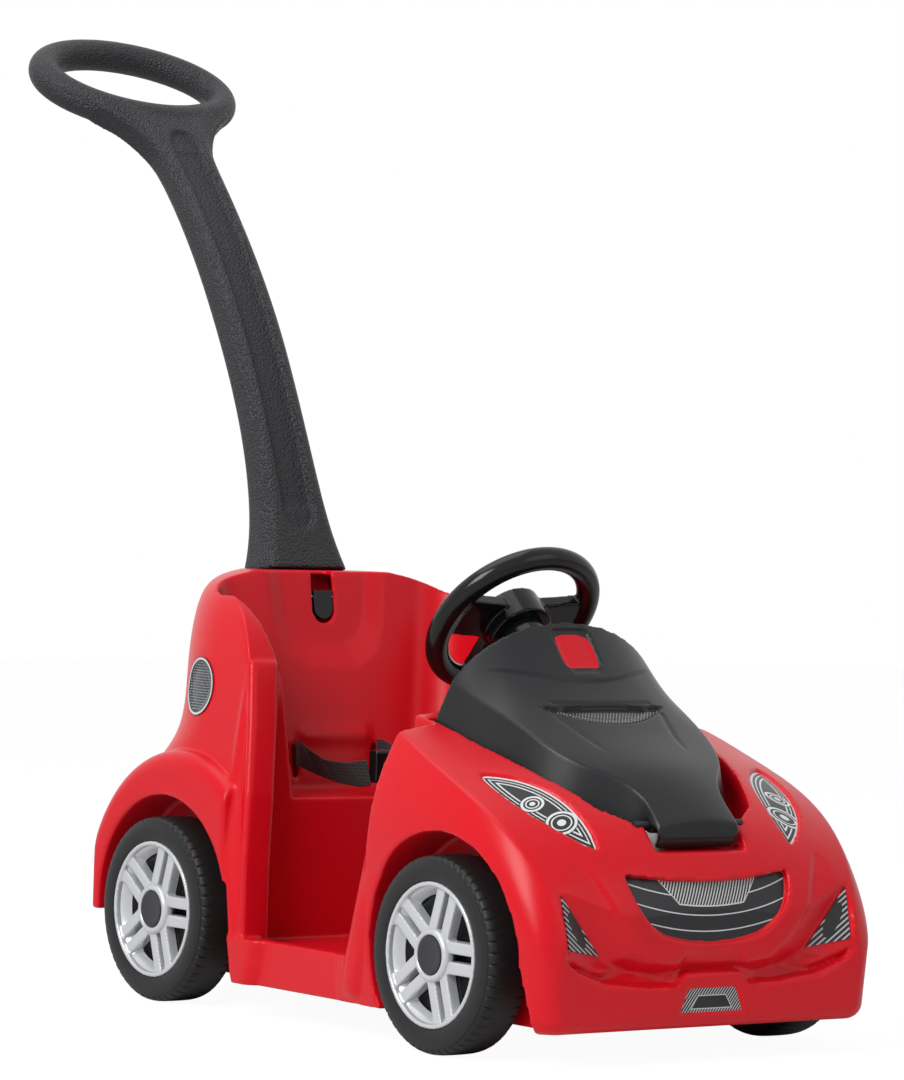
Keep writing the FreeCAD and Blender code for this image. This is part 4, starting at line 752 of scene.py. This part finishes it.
neck = laidGrid("handle_neck", neckForm["columns"], neckForm["rows"], neckPlace)
applyModifier(neck, "SOLIDIFY", thickness=neckForm["thickness"], offset=0.0)
applyModifier(neck, "BEVEL", width=neckForm["edge"], segments=3, limit_method="ANGLE",
              angle_limit=math.radians(60))
handle = softCopy("push_handle", "grained_handle", handleForm, neck)
sculpt(handle, handleMoves)
thin(handle, handleForm["triangles"])
finishPiece(handle, finishes["handle"], "handle", "grained_charcoal", "push_handle")

# Steering wheel: moulded gloss with eased edges and a crisp seat that the horn sinks into
wheelForm = {"voxel": 0.0013, "rounds": 3, "triangles": 120000, "centre": (223.5, 0, 377), "tilt": -48,
             "seatRadius": 19.8, "seatFoot": -1.5, "seatHead": 15, "seatSides": 96}
steering = softCopy("steering_wheel", "moulded_steering_wheel", wheelForm)
thin(steering, wheelForm["triangles"])
tilt = math.radians(wheelForm["tilt"])
column = Vector((math.sin(tilt), 0, math.cos(tilt)))
seatMiddle = Vector(wheelForm["centre"]) + column * (wheelForm["seatFoot"] + wheelForm["seatHead"]) / 2
bpy.ops.object.select_all(action="DESELECT")
bpy.ops.mesh.primitive_cylinder_add(vertices=wheelForm["seatSides"],
                                    radius=wheelForm["seatRadius"] / 1000,
                                    depth=(wheelForm["seatHead"] - wheelForm["seatFoot"]) / 1000,
                                    location=seatMiddle / 1000, rotation=(0, tilt, 0))
hornSeat = bpy.context.object
applyModifier(steering, "BOOLEAN", object=hornSeat, operation="DIFFERENCE", solver="EXACT")
bpy.data.objects.remove(hornSeat)
finishPiece(steering, finishes["gloss"], "steering", "gloss_black", "steering_wheel")

# Road wheels: one of each piece is shaped at the front right corner and copied to the others. Sidewall
# rows are (radius over the seat, depth from the face), tread rows (radius from the crown, depth)
corners = ("front_right", "front_left", "rear_right", "rear_left")
roadWheel = {
    "axleHeight": 88, "tyreOuter": 209, "tyreInner": 161, "seat": 63.8, "crown": 88, "steps": 660,
    "sidewall": ((0, 2.6), (2.0, 1.0), (5.0, 0.35), (9.0, 0.05), (13.0, 0.15), (16.5, 0.7),
                 (18.7, 1.5), (19.3, 1.8), (19.9, 2.1), (21.5, 3.2), (22.8, 4.8)),
    "tread": ((-0.7, 7.0), (-0.3, 10.0), (-0.1, 14.0), (0, 19.0)),
    "notches": 55, "notchShare": 0.22, "notchEdge": 0.4, "notchDepth": 1.3,
    "notchStart": (1.9, 2.6), "notchEnd": (11.0, 13.0),
    "shoulderLine": 83.4, "lineEdge": (0.3, 0.7), "lineDepth": 0.7,
    "rimVoxel": 0.0013, "rimRounds": 3, "rimTriangles": 60000,
    "spokeFace": 4, "webBack": 18.5, "dishFrom": (50, 61), "dishShare": 0.85, "hubSteps": 96,
    "ringProfile": ((17.6, 200.4), (17.6, 207.4), (18.4, 208.5), (19.8, 209.0), (21.4, 208.7),
                    (22.8, 207.4), (23.8, 204.6), (23.8, 200.4)),
    "capProfile": ((0, 208.2), (4, 208.2), (8, 208.3), (12, 208.5), (15.4, 208.9), (16.4, 208.8),
                   (17.2, 207.8), (17.2, 201.2), (15.4, 201.2), (15.4, 207.4), (0, 207.6)),
}


def cornerBox(kind, corner):
    low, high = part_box(kind + corner)
    return (Vector(low) + Vector(high)) / 2


def copyToCorners(kind, pieceName, piece):
    home = cornerBox(kind, corners[0])
    for corner in corners:
        other = piece if corner == corners[0] else piece.copy()
        if other is not piece:
            other.data = piece.data.copy()
            other.data.name = pieceName + corner
            bpy.context.scene.collection.objects.link(other)
            turn = Matrix.Rotation(math.pi, 4, "Z") if corner.endswith("left") else Matrix.Identity(4)
            place = Matrix.Translation(cornerBox(kind, corner))
            other.data.transform(place @ turn @ Matrix.Translation(-home))
        other.name = pieceName + corner
        yield other, corner


def tyreProfile():
    outer, inner = roadWheel["tyreOuter"], roadWheel["tyreInner"]
    half = [(roadWheel["seat"] + r, y) for r, y in roadWheel["sidewall"]]
    half += [(roadWheel["crown"] + r, y) for r, y in roadWheel["tread"]]
    return [(r, -outer + y) for r, y in half] + [(r, -inner - y) for r, y in reversed(half)]


def tyreMoves(spots, normals):
    home = cornerBox("tyre_", corners[0]) * 1000
    out = np.stack((spots[:, 0] - home[0], spots[:, 2] - roadWheel["axleHeight"]), axis=1)
    radius = np.linalg.norm(out, axis=1)
    turn = np.arctan2(out[:, 1], out[:, 0]) / math.tau * roadWheel["notches"]
    cell = abs(turn - np.round(turn)) * 2
    share = roadWheel["notchShare"]
    groove = 1 - ease(share * roadWheel["notchEdge"], share, cell)
    edge = np.minimum(spots[:, 1] + roadWheel["tyreOuter"], -roadWheel["tyreInner"] - spots[:, 1])
    tread = ease(*roadWheel["notchStart"], edge) * (1 - ease(*roadWheel["notchEnd"], edge))
    line = 1 - ease(*roadWheel["lineEdge"], abs(radius - roadWheel["shoulderLine"]))
    sink = roadWheel["notchDepth"] * groove * tread + roadWheel["lineDepth"] * line
    return -normals * sink[:, None]


tyre = turned("moulded_tyre_front_right", tyreProfile(), cornerBox("tyre_", corners[0])[0] * 1000,
              roadWheel["axleHeight"], roadWheel["steps"])
sculpt(tyre, tyreMoves)
for piece, corner in copyToCorners("tyre_", "moulded_tyre_", tyre):
    finishPiece(piece, finishes["tyre"], "wheel_" + corner, "tyre_black", "tyre_" + corner)


# The floor between the spokes slopes up to the lip, as in a dished rim
def rimMoves(spots, normals):
    home = cornerBox("rim_", corners[0]) * 1000
    radius = np.hypot(spots[:, 0] - home[0], spots[:, 2] - roadWheel["axleHeight"])
    depth = spots[:, 1] + roadWheel["tyreOuter"]
    lift = np.clip(depth - roadWheel["spokeFace"], 0, None) * (depth < roadWheel["webBack"])
    lift = lift * ease(*roadWheel["dishFrom"], radius)
    return np.stack((0 * lift, -roadWheel["dishShare"] * lift, 0 * lift), axis=1)


def hubPiece(name, profile):
    home = cornerBox("rim_", corners[0])[0] * 1000
    return turned(name, [(r, -y) for r, y in profile], home, roadWheel["axleHeight"],
                  roadWheel["hubSteps"])


rim = softCopy("rim_front_right", "silver_rim_front_right",
               {"voxel": roadWheel["rimVoxel"], "rounds": roadWheel["rimRounds"]})
sculpt(rim, rimMoves)
thin(rim, roadWheel["rimTriangles"])
ring = hubPiece("hub_ring", roadWheel["ringProfile"])
selectOnly(rim)
ring.select_set(True)
bpy.ops.object.join()
for piece, corner in copyToCorners("rim_", "silver_rim_", rim):
    finishPiece(piece, finishes["rim"], "wheel_" + corner, "silver_moulding", "rim_" + corner)
cap = hubPiece("dished_hub_cap_front_right", roadWheel["capProfile"])
for piece, corner in copyToCorners("rim_", "dished_hub_cap_", cap):
    finishPiece(piece, finishes["cap"], "wheel_" + corner, "gloss_black", "hub_cap_" + corner)
print("road wheels done")

# Lap belt: each webbing strap leaves its slot upright, leans back and sags to the buckle
beltForm = {"width": 30, "thickness": 1.6, "columns": 48, "rows": 6, "rounds": 6,
            "route": ((-50, 48, 236), (-40, 50, 235), (-20, 50, 229),
                      (4, 44, 221), (24, 33, 219), (38, 23, 222)),
            "lean": (0, 4, 18, 32, 26, 10), "leanBack": 0.6, "leanOut": 0.8}


def beltPlace(side):
    route = np.array(beltForm["route"], float)
    knots = np.linspace(0, 1, len(route))
    lean = np.radians(np.array(beltForm["lean"], float))

    def place(u, v):
        spot = [np.interp(u, knots, route[:, i]) for i in range(3)]
        tilt = np.interp(u, knots, lean)
        reach = (v - 0.5) * beltForm["width"]
        slant = reach * np.sin(tilt)
        return (spot[0] - slant * beltForm["leanBack"], side * (spot[1] + slant * beltForm["leanOut"]),
                spot[2] + reach * np.cos(tilt))
    return place


for sideName, side in (("right", -1), ("left", 1)):
    strap = laidGrid("webbing_strap_" + sideName, beltForm["columns"], beltForm["rows"], beltPlace(side))
    applyModifier(strap, "SMOOTH", factor=0.5, iterations=beltForm["rounds"])
    applyModifier(strap, "SOLIDIFY", thickness=beltForm["thickness"] / 1000, offset=0.0)
    applyModifier(strap, "SUBSURF", levels=1, render_levels=1)
    finishPiece(strap, finishes["belt"], "chassis", "webbing", "belt_strap_" + sideName)
print("belt done")

# Studio: pale floor, soft boxes and the photograph's viewpoint
studio = {
    "camera": (3.5973, -2.6251, 0.4934), "azimuth": 52.902, "elevation": 0.598, "roll": 1.825,
    "lens": 153.35, "sensor": 36.0, "worldLight": 0.27, "worldShown": 1.0,
    "floorSize": 14.0, "floorGlow": 1.06, "glowShare": 0.9,
    "lamps": (
        ("keyBox", (1.2, -3.2, 2.6), (0.1, 0.0, 0.35), 1.8, 124.0),
        ("fillBox", (3.4, 1.2, 1.8), (0.2, 0.0, 0.3), 2.0, 12.0),
        ("topBox", (-0.4, -0.6, 3.4), (0.0, 0.0, 0.3), 2.4, 36.0),
    ),
}


def setStudio():
    scene = bpy.context.scene
    scene.view_settings.view_transform = "Standard"
    a, e, r = (math.radians(studio[key]) for key in ("azimuth", "elevation", "roll"))
    back = Vector((math.sin(a) * math.cos(e), -math.cos(a) * math.cos(e), math.sin(e)))
    right = Vector((math.cos(a), math.sin(a), 0))
    up = back.cross(right)
    turnedRight = right * math.cos(r) + up * math.sin(r)
    turnedUp = up * math.cos(r) - right * math.sin(r)
    lens = bpy.data.cameras.new("photoView")
    lens.lens = studio["lens"]
    lens.sensor_fit = "VERTICAL"
    lens.sensor_height = studio["sensor"]
    camera = bpy.data.objects.new("photoView", lens)
    scene.collection.objects.link(camera)
    turn = Matrix((turnedRight, turnedUp, back)).transposed().to_4x4()
    camera.matrix_world = Matrix.Translation(studio["camera"]) @ turn
    scene.camera = camera
    for name, spot, aim, width, power in studio["lamps"]:
        light = bpy.data.lights.new(name, "AREA")
        light.size = width
        light.energy = power
        lamp = bpy.data.objects.new(name, light)
        scene.collection.objects.link(lamp)
        lamp.location = spot
        lamp.rotation_euler = (Vector(aim) - Vector(spot)).to_track_quat("-Z", "Y").to_euler()
    world = bpy.data.worlds.new("paleStudio")
    scene.world = world
    world.use_nodes = True
    tree = world.node_tree
    backdrop = tree.nodes["Background"]
    backdrop.inputs["Color"].default_value = (1, 1, 1, 1)
    backdrop.inputs["Strength"].default_value = studio["worldLight"]
    seen = addNode(tree, "ShaderNodeBackground", {"Color": (1, 1, 1, 1), "Strength": studio["worldShown"]})
    path = addNode(tree, "ShaderNodeLightPath")
    through = addNode(tree, "ShaderNodeMath", {}, operation="MAXIMUM",
                      links={0: path.outputs["Is Camera Ray"], 1: path.outputs["Is Transmission Ray"]})
    shown = addNode(tree, "ShaderNodeMath", {}, operation="MAXIMUM",
                    links={0: through.outputs[0], 1: path.outputs["Is Glossy Ray"]})
    mix = addNode(tree, "ShaderNodeMixShader", {},
                  {0: shown.outputs[0], 1: backdrop.outputs[0], 2: seen.outputs[0]})
    tree.links.new(mix.outputs[0], tree.nodes["World Output"].inputs["Surface"])


def layFloor():
    bpy.ops.object.select_all(action="DESELECT")
    bpy.ops.mesh.primitive_plane_add(size=studio["floorSize"], location=(0, 0, 0))
    floor = bpy.context.object
    floor.name = "studio_floor"
    material, tree, shader = newMaterial("pale_studio_floor", "f4f4f4", Roughness=0.9)
    path = addNode(tree, "ShaderNodeLightPath")
    glow = addNode(tree, "ShaderNodeEmission", {"Color": (1, 1, 1, 1), "Strength": studio["floorGlow"]})
    clear = addNode(tree, "ShaderNodeMath", {1: studio["glowShare"]}, {0: path.outputs["Is Camera Ray"]},
                    operation="MULTIPLY")
    mix = addNode(tree, "ShaderNodeMixShader", {},
                  {0: clear.outputs[0], 1: shader.outputs[0], 2: glow.outputs[0]})
    tree.links.new(mix.outputs[0], tree.nodes["Material Output"].inputs["Surface"])
    wear(floor, material)


setStudio()
layFloor()
print("studio set")
